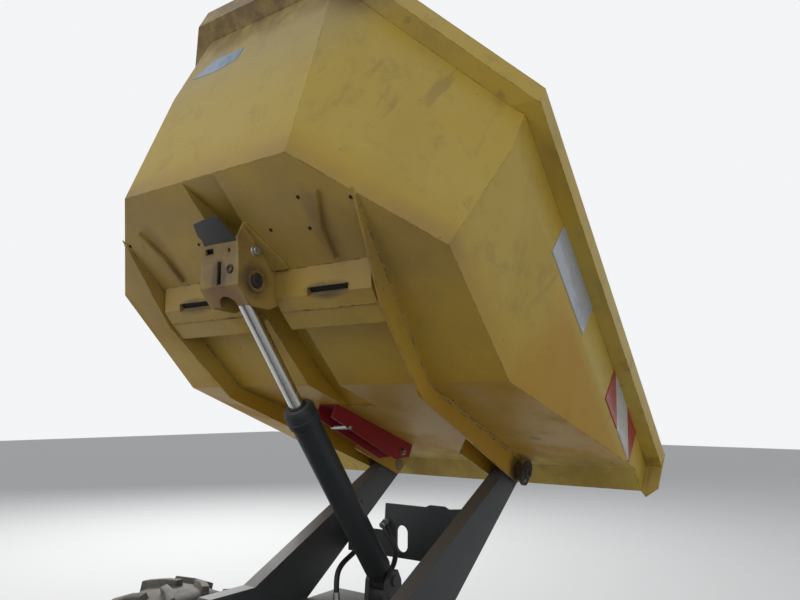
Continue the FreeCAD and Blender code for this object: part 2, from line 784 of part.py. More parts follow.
def axle(x, nose):
    """A driven axle: beam, round centre housing, flanged ends and the spindles in the wheel hubs."""
    half = S.wheel_track_half - 60
    reach = S.wheel_track_half + 40
    items = [
        rod("spindle", (x, -reach, S.axle_height), "y", S.spindle_radius, reach * 2),
        rod("axle_beam", (x, -half, S.axle_height), "y", S.axle_radius, half * 2),
        rod("axle_centre", (x, -95, S.axle_height), "y", S.axle_radius * 1.75, 190),
        rod("axle_nose", (x + nose, 0, S.axle_height), "x", 55, 170),
    ]
    for side in (half - 26, -half):
        items.append(rod("axle_flange", (x, side, S.axle_height), "y", S.hub_radius, 26))
    return items


front_axle = axle(S.wheel_base_half, -170)
for low, high in mirrored(S.arm_inner_half, S.arm_inner_half + S.arm_width):
    front_axle.append(box("axle_pad", (S.wheel_base_half - 110, low, S.axle_height),
                          (S.wheel_base_half + 110, high, PZ - 770.3)))
node(fuse("front_axle", front_axle), "front_axle")


def ring_of_flats(section, count):
    """A closed section of (radius, width) points carried round +Y in flat steps."""
    rows = []
    for i in range(count):
        turn = math.radians(360.0 / count * i)
        rows.append([Vector(r * math.cos(turn), y, -r * math.sin(turn)) for r, y in section])
    faces = []
    for i, row in enumerate(rows):
        following = rows[(i + 1) % count]
        for j in range(len(section)):
            k = (j + 1) % len(section)
            corners = [row[j], row[k], following[k], following[j], row[j]]
            faces.append(Part.Face(Part.makePolygon(corners)))
    return Part.Solid(Part.Shell(faces))


def tyre_shape():
    """A tyre about +Y through zero: a carcass of flats with two rows of bars."""
    outer_r = S.tyre_radius.value
    tread_r = outer_r - S.lug_height.value
    flats = 36
    bead_r = (S.rim_radius.value + 8) / math.cos(math.pi / flats)
    half = S.tyre_width.value / 2
    section = [
        (bead_r, -half * 0.72), (bead_r + 60, -half * 0.98), (tread_r - 60, -half * 0.98),
        (tread_r, -half * 0.6), (tread_r, half * 0.6), (tread_r - 60, half * 0.98),
        (bead_r + 60, half * 0.98), (bead_r, half * 0.72),
    ]
    carcass = ring_of_flats(section, flats)
    if carcass.Volume < 0:
        carcass.reverse()
    bars = []
    count = 16
    for side in (1, -1):
        for i in range(count):
            bars.append(tyre_bar(side, tread_r, outer_r, half, 360.0 / count * (i + (0.25 if side > 0 else 0.75))))
    limit = Part.makeCylinder(outer_r, half * 2, Vector(0, -half, 0), Vector(0, 1, 0))
    bars = [bar.common(limit) for bar in bars]
    return carcass.fuse(bars).removeSplitter()


def tyre_bar(side, low_r, high_r, half, angle):
    """One bar of the tread, from the middle to the shoulder."""
    plan = [(0.02, -4), (0.02, 34), (0.97, 108), (0.97, 64)]
    pts = [Vector(low_r - 22, side * half * u, w) for u, w in plan]
    bar = Part.Face(Part.makePolygon(pts + pts[:1])).extrude(Vector(high_r - low_r + 40, 0, 0))
    bar.rotate(Vector(), Vector(0, 1, 0), angle)
    return bar


tyre = tyre_shape()
AXLES = (("front", S.wheel_base_half), ("rear", -S.wheel_base_half))
for end, axle_x in AXLES:
    for hand, side in (("left", 1), ("right", -1)):
        item = feature("tyre", tyre.copy() if side > 0 else tyre.mirror(Vector(), Vector(0, 1, 0)))
        place(item, axle_x, S.wheel_track_half * side, S.axle_height)
        node(item, f"tyre_{end}_{hand}")
        half_rim = S.tyre_width * 0.36
        r = S.rim_radius
        hub = S.hub_radius
        bore = S.spindle_radius + S.pin_gap
        section = [
            (r + 7.6, -half_rim), (r + 24, -half_rim - 20), (r - 4, -half_rim - 20), (r - 12, -half_rim + 10),
            (r - 12, 8), (hub, 8), (hub, -55), (bore, -55), (bore, 41), (0, 41), (0, 75), (hub * 0.7, 75),
            (hub, 60), (hub, 20), (r - 12, 20), (r - 12, half_rim + 10), (r - 4, half_rim + 20),
            (r + 24, half_rim + 20), (r + 7.6, half_rim),
        ]
        disc = turned("rim", "XY", [(a, b * side) for a, b in section])
        place(disc, axle_x, S.wheel_track_half * side, S.axle_height)
        node(disc, f"rim_{end}_{hand}")

# Steering yoke: upright hub with its pin, roll shaft to the rear and the ram's arm
SZ = S.steer_height
hub_low = S.spine_bottom + S.lug_plate + 5
hub_high = S.spine_top - S.lug_plate - 5
yoke = [
    rod("yoke_hub", (0, 0, hub_low), "z", S.yoke_hub_radius, hub_high - hub_low),
    rod("steer_pin", (0, 0, S.spine_bottom - 12), "z", S.steer_pin_radius, S.spine_top - S.spine_bottom + 24),
    rod("roll_shaft", (-S.roll_tube_front - S.roll_tube_length - 40, 0, SZ), "x", S.roll_shaft_radius,
        S.roll_tube_front + S.roll_tube_length + 40),
    rod("roll_collar", (-S.roll_tube_front - S.roll_tube_length - 25, 0, SZ), "x", S.roll_tube_radius, 22),
    box("steer_arm_low", (-S.steer_ram_eye - 30, 0, SZ - 34), (-S.steer_ram_eye + 30, S.steer_ram_half + 25, SZ - 20)),
    box("steer_arm_high", (-S.steer_ram_eye - 30, 0, SZ + 20), (-S.steer_ram_eye + 30, S.steer_ram_half + 25, SZ + 34)),
    rod("steer_stub_low", (-S.steer_ram_eye, S.steer_ram_half, SZ - 20), "z", 12, 3),
    rod("steer_stub_high", (-S.steer_ram_eye, S.steer_ram_half, SZ + 17), "z", 12, 3),
]
node(fuse("yoke", yoke), "steering_yoke")

# Steering ram, along -X from the front frame to the yoke's arm
steer_barrel = fuse("steer_barrel", [
    rod("steer_tube", (S.steer_ram_base - S.steer_barrel_length, S.steer_ram_half, SZ), "x",
        S.steer_barrel_radius, S.steer_barrel_length - 34),
    box("steer_neck", (S.steer_ram_base - 36, S.steer_ram_half - 20, SZ - 24),
        (S.steer_ram_base, S.steer_ram_half + 20, SZ + 24)),
    rod("steer_eye", (S.steer_ram_base, S.steer_ram_half, SZ - 24), "z", 26, 48),
])
steer_barrel = cut("steer_barrel_bored", steer_barrel, [
    rod("steer_eye_hole", (S.steer_ram_base, S.steer_ram_half, SZ - 60), "z", 12 + S.pin_gap, 120),
    rod("steer_rod_bore", (S.steer_ram_base - S.steer_barrel_length - 5, S.steer_ram_half, SZ), "x",
        S.steer_rod_radius + S.pin_gap, S.steer_barrel_length - 60),
])
node(steer_barrel, "steer_ram_barrel")
node(fuse("steer_rod", [
    rod("steer_bar", (-S.steer_ram_eye + 14, S.steer_ram_half, SZ), "x", S.steer_rod_radius,
        S.steer_ram_base + S.steer_ram_eye - 204),
    rod("steer_rod_eye", (-S.steer_ram_eye, S.steer_ram_half, SZ - 14), "z", 24, 28),
]), "steer_ram_rod")

# Rear frame: side plates, bulkheads and the roll bearing
frame_parts = []
for low, high in mirrored(S.frame_half - S.frame_plate, S.frame_half):
    frame_parts.append(box("side_plate", (-S.rear_end, low, S.frame_bottom), (-S.bulkhead_x, high, S.frame_top)))
for x, bottom in ((-S.bulkhead_x - 20, 470), (-640, 510), (-1300, 510), (-S.rear_end, 470)):
    frame_parts.append(box("bulkhead", (x, -S.frame_half, bottom), (x + 20, S.frame_half, S.frame_top)))
frame_parts.append(rod("roll_tube", (-S.roll_tube_front - S.roll_tube_length, 0, SZ), "x",
                       S.roll_tube_radius, S.roll_tube_length))
rear_frame = cut("rear_frame", fuse("rear_frame_solid", frame_parts), [
    rod("roll_bore", (-S.roll_tube_front - S.roll_tube_length - 5, 0, SZ), "x", S.roll_shaft_radius + S.pin_gap,
        S.roll_tube_length + 200),
])
node(rear_frame, "rear_frame")
rear_axle = axle(-S.wheel_base_half, 0)
for low, high in mirrored(S.frame_half - 40, S.frame_half):
    rear_axle.append(box("axle_pad", (-S.wheel_base_half - 90, low, S.axle_height),
                         (-S.wheel_base_half + 90, high, S.frame_bottom - 0.3)))
node(fuse("rear_axle", rear_axle), "rear_axle")

# Deck, console, controls and seat
TOP = S.frame_top + S.floor_plate
deck_half = S.wheel_track_half - S.tyre_width / 2 - 30
deck = [
    box("deck", (-S.deck_rear, -deck_half, S.frame_top + GAP), (-S.deck_front, deck_half, TOP + GAP)),
]
step_rear = -S.wheel_base_half + S.tyre_radius + S.tyre_clear
for low, high in mirrored(deck_half - 12, deck_half):
    deck.append(box("step_side", (step_rear, low, S.step_height + 8), (step_rear + S.step_length, high, S.frame_top + 1)))
for low, high in mirrored(deck_half - 12, deck_half + S.step_reach):
    deck.append(box("step", (step_rear, low, S.step_height), (step_rear + S.step_length, high, S.step_height + 12)))
node(fuse("deck", deck), "operator_deck")
console_line = [
    (-470, TOP + 0.6), (-340, TOP + 0.6), (-345, 1180), (-385, 1340), (-500, 1273.6), (-480, 1150),
]
console = [prism("console", "XZ", console_line, S.console_half, S.console_half * 2)]
for y in (-160, -120):
    console.append(rod("lever", (-420, y, 1300), "z", 8, S.lever_length))
    console.append(rod("lever_knob", (-420, y, S.lever_length + 1296), "z", 17, 40))
node(fuse("console_levers", console), "dash_console")
column = rod("column", (0, 0, 0), "z", 26, 190)
column.Placement = Placement(Vector(-450.15, 0, 1302.76), Rotation(Vector(0, 1, 0), -30))
node(column, "steering_column")
flat = 13 * math.tan(math.radians(22.5))
octagon = [(13, -flat), (13, flat), (flat, 13), (-flat, 13), (-13, flat), (-13, -flat), (-flat, -13), (flat, -13)]
ring = turned("hoop", "XZ", [(S.wheel_hoop_radius + across, up) for across, up in octagon])
spokes = []
for turn in (0, 120, 240):
    spoke = box("spoke", (0, -12, -5), (S.wheel_hoop_radius, 12, 5))
    spoke.Placement = Placement(Vector(), Rotation(Vector(0, 0, 1), turn)).multiply(spoke.Placement)
    spokes.append(spoke)
spokes.append(rod("boss", (0, 0, -20), "z", 38, 40))
hoop = fuse("steering_wheel", [ring] + spokes)
hoop.Placement = Placement(Vector(-450.15, 0, 1302.76), Rotation(Vector(0, 1, 0), -30)).multiply(
    Placement(Vector(0, 0, 210.3), Rotation()))
node(hoop, "steering_wheel")
SX = -S.seat_x
SH = S.seat_height
node(prism("seat_base", "XZ", [
    (SX - 225, S.frame_top + GAP), (SX + 170, S.frame_top + GAP), (SX + 210, SH - 120), (SX + 210, SH), (SX - 225, SH),
], S.seat_base_half, S.seat_base_half * 2), "seat_base")
cushion_half = S.seat_half - 5
node(prism("cushion", "XZ", [
    (SX - 190, SH + GAP), (SX + 225, SH + GAP), (SX + 230, SH + 50), (SX + 212, SH + 86), (SX + 150, SH + 95),
    (SX - 190, SH + 82),
], cushion_half, cushion_half * 2), "seat_cushion")
back_half = S.seat_half - 10
node(prism("back", "XZ", [
    (SX - 155, SH + 83.7), (SX - 220, SH + 83.7), (SX - 235, SH + 500), (SX - 215, SH + 520), (SX - 190, SH + 512),
    (SX - 165, SH + 300),
], back_half, back_half * 2), "seat_back")

# Engine and hood
BAY = S.frame_top + 0.3
node(box("engine", (-S.engine_rear, -S.engine_half, BAY + 8.3), (-S.engine_front, S.engine_half, S.engine_top)),
     "engine_block")
bay = [box("bay_floor", (-S.rear_end + 7, -S.hood_half, BAY), (-S.hood_front + 7, S.hood_half, BAY + 8))]
for low, high in mirrored(S.hood_half - S.hood_wall, S.hood_half):
    bay.append(box("bay_side", (-S.hood_hinge_x + 40, low, BAY), (-S.hood_front + 7, high, S.hood_bottom - 6)))
    bay.append(box("bay_corner", (-S.rear_end + 7, low, BAY), (-S.hood_hinge_x + 41, high, S.hood_bottom - 26)))
HX = -S.hood_hinge_x
HZ = S.hood_hinge_height
ear_line = [(HX + 2, HZ - 10), (HX + 10, BAY), (HX + 40, BAY), (HX + 35, HZ), (HX + 8, HZ + 8)]
for low, high in mirrored(314, 326):
    bay.append(prism("ear", "XZ", ear_line, high, 12))
    bay.append(rod("ear_end", (HX, low, HZ), "y", 10, 12))
for low, high in mirrored(298, 326):
    bay.append(rod("hood_pin", (HX, low, HZ), "y", 6, 28))
bay.append(box("firewall", (-S.hood_front + 6, -S.hood_half, BAY), (-S.hood_front + 14, S.hood_half, S.hood_top)))
node(fuse("engine_bay", bay), "engine_bay")


def hood_form(name, inset, bottom, front):
    """The hood's outline as the common part of a side and an end profile."""
    half = S.hood_half - inset
    top = S.hood_top - inset
    side = prism(name + "_side", "XZ", [
        (front, bottom), (front, top),
        (-S.hood_rear + 150 + inset * 0.6, top - 20), (-S.hood_rear + 30 + inset * 1.2, top - 110),
        (-S.hood_rear + inset * 1.5, bottom),
    ], half, half * 2)
    end = prism(name + "_end", "YZ", [
        (-half, bottom), (half, bottom), (half, top - S.hood_shoulder), (half - S.hood_shoulder * 0.3, top - 32),
        (half - S.hood_shoulder, top + 1), (S.hood_shoulder - half, top + 1),
        (S.hood_shoulder * 0.3 - half, top - 32), (-half, top - S.hood_shoulder),
    ], -S.hood_rear - 50, S.hood_rear - S.hood_front + 100)
    item = doc.addObject("Part::MultiCommon", name)
    item.Shapes = [side, end]
    return item


hood_cuts = [hood_form("hood_inner", S.hood_wall, S.hood_bottom - 20, -S.hood_front + 20)]
hood_cuts.append(box("vent", (-S.hood_rear - 50, -S.vent_half, S.vent_low), (-S.hood_rear + 60, S.vent_half, S.vent_high)))
for i in range(6):
    louvre_x = -S.engine_rear + 60 + 46 * i
    hood_cuts.append(box("louvre", (louvre_x, -S.hood_half - 5, S.vent_low + 60), (louvre_x + 20, S.hood_half + 5, S.vent_high - 30)))
hood_skin = cut("hood_skin", hood_form("hood_outer", 0, S.hood_bottom, -S.hood_front), hood_cuts)
hinges = [hood_skin]
for low, high in mirrored(300, 312):
    hinges.append(rod("hood_lug", (HX, low, HZ), "y", 11, 12))
    hinges.append(box("hood_lug_root", (HX - 16, low, HZ - 2), (HX, high, HZ + 20)))
hood = cut("hood", fuse("hood_hinged", hinges), [rod("hinge_hole", (HX, -350, HZ), "y", 6 + S.pin_gap, 700)])
node(hood, "hood")
grille_half = S.vent_half - GAP
grille = [
    box("grille_bar", (-S.hood_rear + 12, -grille_half, S.vent_low + 12 + 42 * i), (-S.hood_rear + 20, grille_half, S.vent_low + 30 + 42 * i))
    for i in range(6)
]
for y in (-grille_half, -8, grille_half - 16):
    grille.append(box("grille_post", (-S.hood_rear + 18, y, S.vent_low + GAP), (-S.hood_rear + 28, y + 16, S.vent_high - 20)))
node(fuse("grille", grille), "rear_grille")

# Tanks, counterweight, mudguards and roll-over frame
tank_half = S.wheel_track_half - S.tyre_width / 2 - 50
tank_edge = tank_half - S.tank_chamfer
for label, side in (("fuel_tank", 1), ("hydraulic_tank", -1)):
    tank = prism(label, "YZ", [
        ((S.frame_half + GAP) * side, S.tank_bottom), (tank_edge * side, S.tank_bottom),
        (tank_half * side, S.tank_bottom + S.tank_chamfer), (tank_half * side, S.tank_top - S.tank_chamfer),
        (tank_edge * side, S.tank_top), ((S.frame_half + GAP) * side, S.tank_top),
    ], -S.tank_rear, S.tank_rear - S.deck_rear - 6)
    cap = rod("filler_cap", (-S.tank_rear + 110, (S.frame_half + 160) * side, S.tank_top - 1), "z", 38, 29)
    node(fuse(label + "_capped", [tank, cap]), label)
WX = -S.rear_end - S.weight_length
weight_side = prism("weight_side", "XZ", [
    (-S.rear_end, S.weight_low), (-S.rear_end, S.weight_high), (WX + 20, S.weight_high), (WX, S.weight_high - 40),
    (WX, S.weight_low + 70), (WX + 60, S.weight_low),
], S.hood_half, S.hood_half * 2)
weight_plan = prism("weight_plan", "XY", [
    (-S.rear_end, -S.hood_half), (-S.rear_end, S.hood_half), (WX + S.weight_chamfer, S.hood_half),
    (WX, S.hood_half - S.weight_chamfer), (WX, S.weight_chamfer - S.hood_half), (WX + S.weight_chamfer, -S.hood_half),
], S.weight_low - 10, S.weight_high - S.weight_low + 20)
weight = doc.addObject("Part::MultiCommon", "weight")
weight.Shapes = [weight_side, weight_plan]
tow_floor = S.weight_low + 40
holes = [box("tow_slot", (WX - 5, -90, tow_floor), (WX + 96, 90, tow_floor + 90))]
holes.append(rod("tow_hole", (WX + 45, 0, S.weight_low - 5), "z", S.tow_pin_radius, S.weight_high - S.weight_low + 10))
for y in (S.hood_half - 42, 42 - S.hood_half):
    holes.append(rod("tie_hole", (WX + 62, y, S.weight_low - 5), "z", S.eye_hole_radius, S.weight_high - S.weight_low + 10))
node(cut("counterweight", weight, holes), "counterweight")


def mudguard(side):
    """A bent strip over a rear wheel."""
    r = S.tyre_radius.value + 50
    spots = [(math.cos(math.radians(a)) * r, math.sin(math.radians(a)) * r) for a in (35, 60, 90, 120, 145)]
    outer_line = [(x, z) for x, z in spots]
    inner_line = [(x * (r - 6) / r, z * (r - 6) / r) for x, z in reversed(spots)]
    pts = [Vector(x, 0, z) for x, z in outer_line + inner_line]
    strip = Part.Face(Part.makePolygon(pts + pts[:1])).extrude(Vector(0, 325 * side, 0))
    web = [Vector(x, 0, z) for x, z in inner_line]
    sheet_web = Part.Face(Part.makePolygon(web + web[:1])).extrude(Vector(0, 6 * side, 0))
    foot = Part.makeBox(120, 26, 60, Vector(-60, -6 if side < 0 else -20, 300))
    return strip.fuse([sheet_web, foot]).removeSplitter()


for hand, side in (("left", 1), ("right", -1)):
    item = feature("mudguard", mudguard(side))
    place(item, -S.wheel_base_half, (S.wheel_track_half - 179.7) * side, S.axle_height)
    node(item, f"mudguard_{hand}")
T = S.rops_tube
RX = -S.rops_x
RZ = S.rops_pivot_height
post_top = RZ - 62


def hoop_top():
    """The upper hoop: two posts and their cross tube in one bent outline."""
    outer = S.rops_half + T - 1
    inner = S.rops_half - T + 1
    line = [(outer, RZ - 45)]
    bend = S.rops_bend
    steps = [math.radians(a) for a in (0, 30, 60, 90)]
    line += [(outer - bend * (1 - math.cos(a)), S.machine_height - bend * (1 - math.sin(a))) for a in steps]
    far = [(-y, z) for y, z in reversed(line)]
    small = bend - T * 2 + 2
    back = [(inner, RZ - 45)]
    back += [(inner - small * (1 - math.cos(a)), S.machine_height - T * 2 - small * (1 - math.sin(a))) for a in steps]
    back_far = [(-y, z) for y, z in reversed(back)]
    around = line + far + [(y, z) for y, z in reversed(back_far)] + [(y, z) for y, z in reversed(back)]
    return prism("hoop_top", "YZ", around, RX - T, T * 2)


low_posts = []
for y in (S.rops_half, -S.rops_half):
    low_posts.append(box("post", (RX - T, y - T, S.frame_top + 40), (RX + T, y + T, post_top)))
    for low in (y - T - 10, y + T):
        low_posts.append(box("post_ear", (RX - T, low, post_top - 80), (RX + T, low + 10, RZ + 32)))
    low_posts.append(rod("rops_pin", (RX, y - T - 16, RZ), "y", 12, T * 2 + 32))
    low_posts.append(box("post_foot", (RX - T - 10, y - T - 8, S.frame_top + GAP), (RX + T + 12, y + T + 8, S.frame_top + 12)))
low_posts.append(box("post_beam", (RX - T, -S.rops_half - T, S.frame_top + 0.3), (RX + T, S.rops_half + T, S.frame_top + 60)))
node(fuse("rops_lower", low_posts), "rops_lower")
rops_hole = rod("rops_hole", (RX, -600, RZ), "y", 12 + S.pin_gap, 1200)
node(cut("rops_upper", hoop_top(), [rops_hole]), "rops_upper")

doc.recompute()
for item in doc.Objects:
    if "Invalid" in item.State or "Error" in item.State:
        raise RuntimeError(f"{item.Label} did not build: {item.State}")
os.makedirs("parts", exist_ok=True)
overall = FreeCAD.BoundBox()
for label, item in NODES.items():
    shape = item.Shape
    if shape.isNull() or not shape.isValid() or not shape.Solids:
        raise RuntimeError(f"{label} has no valid solid")
    overall.add(shape.BoundBox)
for label, item in NODES.items():
    item.Shape.exportStep(f"parts/{label}.step")
    print(label, len(item.Shape.Solids), "solids", round(item.Shape.Volume / 1e6, 2), "litres")
print("box", overall)
print("ram length", ram_length, "lean", ram_lean)
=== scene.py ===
"""Looks, details, studio and camera for an articulated site dumper with its skip tipped forward."""

import json
import logging
import math
from collections.abc import Callable, Iterator, Sequence
from contextlib import contextmanager
from dataclasses import dataclass
from enum import Enum

import bpy
from mathutils import Matrix, Vector


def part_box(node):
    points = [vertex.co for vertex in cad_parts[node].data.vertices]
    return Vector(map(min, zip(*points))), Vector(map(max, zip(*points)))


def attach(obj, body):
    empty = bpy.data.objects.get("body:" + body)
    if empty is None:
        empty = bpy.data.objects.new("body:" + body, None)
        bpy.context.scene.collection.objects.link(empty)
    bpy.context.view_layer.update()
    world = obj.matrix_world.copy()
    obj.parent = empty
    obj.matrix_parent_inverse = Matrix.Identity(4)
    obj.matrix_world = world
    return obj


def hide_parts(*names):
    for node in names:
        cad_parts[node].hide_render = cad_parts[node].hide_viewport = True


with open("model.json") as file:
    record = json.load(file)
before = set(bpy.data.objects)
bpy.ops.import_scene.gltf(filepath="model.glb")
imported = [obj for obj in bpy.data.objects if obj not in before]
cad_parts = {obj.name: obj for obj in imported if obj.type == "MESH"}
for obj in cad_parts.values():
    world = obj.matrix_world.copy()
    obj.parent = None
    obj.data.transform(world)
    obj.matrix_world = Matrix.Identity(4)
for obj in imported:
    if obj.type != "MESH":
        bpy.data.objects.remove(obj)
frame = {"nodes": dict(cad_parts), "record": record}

log = logging.getLogger("site_dumper")

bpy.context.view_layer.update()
Point = tuple[float, float, float]
Pair = tuple[float, float]
Colour = tuple[float, float, float]

AXLE_HEIGHT = 0.425
TIP_PIVOT = Vector((1.85, 0.0, 1.27))
TIP_REST = math.radians(45.4)
SKIP_TURN = Matrix.Translation(TIP_PIVOT) @ Matrix.Rotation(TIP_REST, 4, "Y")
AXES = {"x": Vector((1.0, 0.0, 0.0)), "y": Vector((0.0, 1.0, 0.0)), "z": Vector((0.0, 0.0, 1.0))}


class Coat(Enum):
    """Kinds of surface that the machine's pieces are finished with."""

    SKIP = "skip_paint"
    CHASSIS = "chassis_paint"
    WHEEL = "wheel_paint"
    PROP = "prop_paint"
    STEEL = "bare_steel"
    CHROME = "chrome"
    TYRE = "tyre"
    DECK = "deck_plate"
    PLASTIC = "dark_plastic"
    SEAT = "seat_cover"
    ENGINE = "engine_metal"
    IRON = "cast_iron"
    BARREL = "ram_paint"
    HOSE = "hose_rubber"
    ZINC = "zinc_plate"
    WELD = "weld_bead"
    TAPE_RED = "tape_red"
    TAPE_WHITE = "tape_white"
    BLANK = "blank_plate"
    FADED = "faded_strip"
    AMBER = "amber_lens"
    LAMP_RED = "red_lens"
    DIAL = "dial_face"
    # Near-black painted shade for slots and holes.
    HOLLOW = "painted_shade_fill"

    @property
    def slot(self) -> str:
        """The record's material slot that a piece of this finish takes its place in."""
        return OWN_SLOTS.get(self, self.value)


OWN_SLOTS = {
    Coat.BARREL: "chassis_paint",
    Coat.HOSE: "dark_plastic",
    Coat.ZINC: "bare_steel",
    Coat.WELD: "skip_paint",
    Coat.TAPE_RED: "prop_paint",
    Coat.TAPE_WHITE: "skip_paint",
    Coat.BLANK: "skip_paint",
    Coat.FADED: "skip_paint",
    Coat.AMBER: "prop_paint",
    Coat.LAMP_RED: "prop_paint",
    Coat.DIAL: "dark_plastic",
    Coat.HOLLOW: "chassis_paint",
}


class Web:
    """A small shader network on one material, with short calls for its usual nodes."""

    def __init__(self, name: str, shine: float = 0.5) -> None:
        """Start an empty material with its surface shader and object coordinates."""
        self.shine = shine
        self.material = bpy.data.materials.new(name)
        self.material.use_nodes = True
        self.tree = self.material.node_tree
        self.tree.nodes.clear()
        self.output = self.tree.nodes.new("ShaderNodeOutputMaterial")
        self.shader = self.tree.nodes.new("ShaderNodeBsdfPrincipled")
        self.link(self.shader.outputs[0], self.output.inputs["Surface"])
        self.place = self.tree.nodes.new("ShaderNodeTexCoord")

    def link(self, source: bpy.types.NodeSocket, target: bpy.types.NodeSocket) -> None:
        """Join an output to an input."""
        self.tree.links.new(source, target)

    def set(self, node: bpy.types.Node, slot: str | int, value: object) -> None:
        """Give an input a value, or link it where the value is an output."""
        if isinstance(value, bpy.types.NodeSocket):
            self.link(value, node.inputs[slot])
            return
        node.inputs[slot].default_value = value

    def where(self, scale: Point = (1.0, 1.0, 1.0), turn: Point = (0.0, 0.0, 0.0)) -> bpy.types.NodeSocket:
        """Object coordinates, stretched and turned.

        Args:
            scale: Factor along each axis.
            turn: Euler angles in degrees.

        Returns:
            The mapped coordinates.
        """
        node = self.tree.nodes.new("ShaderNodeMapping")
        self.link(self.place.outputs["Object"], node.inputs["Vector"])
        node.inputs["Scale"].default_value = scale
        node.inputs["Rotation"].default_value = [math.radians(a) for a in turn]
        return node.outputs[0]

    def noise(self, scale: float, detail: float = 4.0, rough: float = 0.55,
              at: object = None) -> bpy.types.NodeSocket:
        """Cloudy noise from 0 to 1.

        Args:
            scale: Patches for each metre.
            detail: Octaves.
            rough: Weight of the fine octaves.
            at: Coordinates, or None for plain object coordinates.

        Returns:
            The factor output.
        """
        node = self.tree.nodes.new("ShaderNodeTexNoise")
        self.link(at or self.place.outputs["Object"], node.inputs["Vector"])
        node.inputs["Scale"].default_value = scale
        node.inputs["Detail"].default_value = detail
        node.inputs["Roughness"].default_value = rough
        return node.outputs["Fac"]

    def cells(self, scale: float, feature: str = "F1", at: object = None) -> bpy.types.NodeSocket:
        """Distance to the nearest cell point."""
        node = self.tree.nodes.new("ShaderNodeTexVoronoi")
        node.feature = feature
        self.link(at or self.place.outputs["Object"], node.inputs["Vector"])
        node.inputs["Scale"].default_value = scale
        return node.outputs["Distance"]

    def ramp(self, value: bpy.types.NodeSocket, low: float, high: float, first: float = 0.0,
             last: float = 1.0) -> bpy.types.NodeSocket:
        """A value taken from one range to another and clamped.

        Args:
            value: The input.
            low: Input that gives first.
            high: Input that gives last.
            first: Output at low.
            last: Output at high.

        Returns:
            The ranged value.
        """
        node = self.tree.nodes.new("ShaderNodeMapRange")
        node.interpolation_type = "SMOOTHSTEP"
        for slot, item in zip(("Value", "From Min", "From Max", "To Min", "To Max"),
                              (value, low, high, first, last)):
            self.set(node, slot, item)
        return node.outputs[0]

    def sum(self, kind: str, first: object, second: object) -> bpy.types.NodeSocket:
        """One arithmetic step on two values."""
        node = self.tree.nodes.new("ShaderNodeMath")
        node.operation = kind
        self.set(node, 0, first)
        self.set(node, 1, second)
        return node.outputs[0]

    def blend(self, factor: object, first: object, second: object, kind: str = "MIX") -> bpy.types.NodeSocket:
        """A mix of two colours.

        Args:
            factor: Share of the second colour.
            first: A colour or a colour output.
            second: A colour or a colour output.
            kind: The blend type.

        Returns:
            The mixed colour.
        """
        node = self.tree.nodes.new("ShaderNodeMix")
        node.data_type = "RGBA"
        node.blend_type = kind
        node.clamp_result = True
        for slot, item in ((0, factor), (6, first), (7, second)):
            if isinstance(item, tuple):
                item = (*item, 1.0)
            self.set(node, slot, item)
        return node.outputs[2]

    def bump(self, height: bpy.types.NodeSocket, depth: float, strength: float = 1.0) -> bpy.types.Node:
        """Raise the surface by a height, as a depth in metres."""
        node = self.tree.nodes.new("ShaderNodeBump")
        self.link(height, node.inputs["Height"])
        node.inputs["Distance"].default_value = depth
        node.inputs["Strength"].default_value = strength
        last = self.shader.inputs["Normal"]
        if last.is_linked:
            self.link(last.links[0].from_socket, node.inputs["Normal"])
        self.link(node.outputs[0], last)
        return node

    def upward(self) -> bpy.types.NodeSocket:
        """How far a face looks up in the piece's own frame, from -1 to 1."""
        return self.parts(self.place.outputs["Normal"])[2]

    def rounded(self, radius: float) -> None:
        """Turn the shading at sharp edges as if they were rounded to a radius in metres."""
        bevel = self.tree.nodes.new("ShaderNodeBevel")
        bevel.samples = 4
        bevel.inputs["Radius"].default_value = radius
        self.link(bevel.outputs[0], self.shader.inputs["Normal"])

    def at_skip(self) -> bpy.types.NodeSocket:
        """Places on the skip as if it were lowered, from its tip pivot."""
        node = self.tree.nodes.new("ShaderNodeMapping")
        node.vector_type = "TEXTURE"
        self.link(self.place.outputs["Object"], node.inputs["Vector"])
        node.inputs["Location"].default_value = TIP_PIVOT
        node.inputs["Rotation"].default_value = (0.0, TIP_REST, 0.0)
        return node.outputs[0]

    def stretched_skip(self, scale: Point) -> bpy.types.NodeSocket:
        """The lowered skip's places, stretched along its own axes."""
        node = self.tree.nodes.new("ShaderNodeMapping")
        self.link(self.at_skip(), node.inputs["Vector"])
        node.inputs["Scale"].default_value = scale
        return node.outputs[0]

    def parts(self, vector: bpy.types.NodeSocket) -> tuple[bpy.types.NodeSocket, ...]:
        """The three parts of a vector."""
        node = self.tree.nodes.new("ShaderNodeSeparateXYZ")
        self.link(vector, node.inputs[0])
        return tuple(node.outputs)

    def edges(self, width: float) -> bpy.types.NodeSocket:
        """How near a sharp edge lies, from 0 on flats to 1 on the edge."""
        bevel = self.tree.nodes.new("ShaderNodeBevel")
        bevel.samples = 4
        bevel.inputs["Radius"].default_value = width
        plain = self.tree.nodes.new("ShaderNodeNewGeometry")
        node = self.tree.nodes.new("ShaderNodeVectorMath")
        node.operation = "DOT_PRODUCT"
        self.link(bevel.outputs[0], node.inputs[0])
        self.link(plain.outputs["Normal"], node.inputs[1])
        return self.ramp(node.outputs["Value"], 1.0, 0.8)

    def finish(self, colour: object, rough: object, metal: float = 0.0,
               coat: float = 0.0) -> bpy.types.Material:
        """Set the shader's main sockets.

        Args:
            colour: Base colour.
            rough: Roughness.
            metal: Metallic share.
            coat: Clear coat share.

        Returns:
            The finished material.
        """
        if isinstance(colour, tuple):
            colour = (*colour, 1.0)
        self.set(self.shader, "Base Color", colour)
        self.set(self.shader, "Roughness", rough)
        self.shader.inputs["Metallic"].default_value = metal
        self.shader.inputs["Coat Weight"].default_value = coat
        self.shader.inputs["Specular IOR Level"].default_value = self.shine
        return self.material


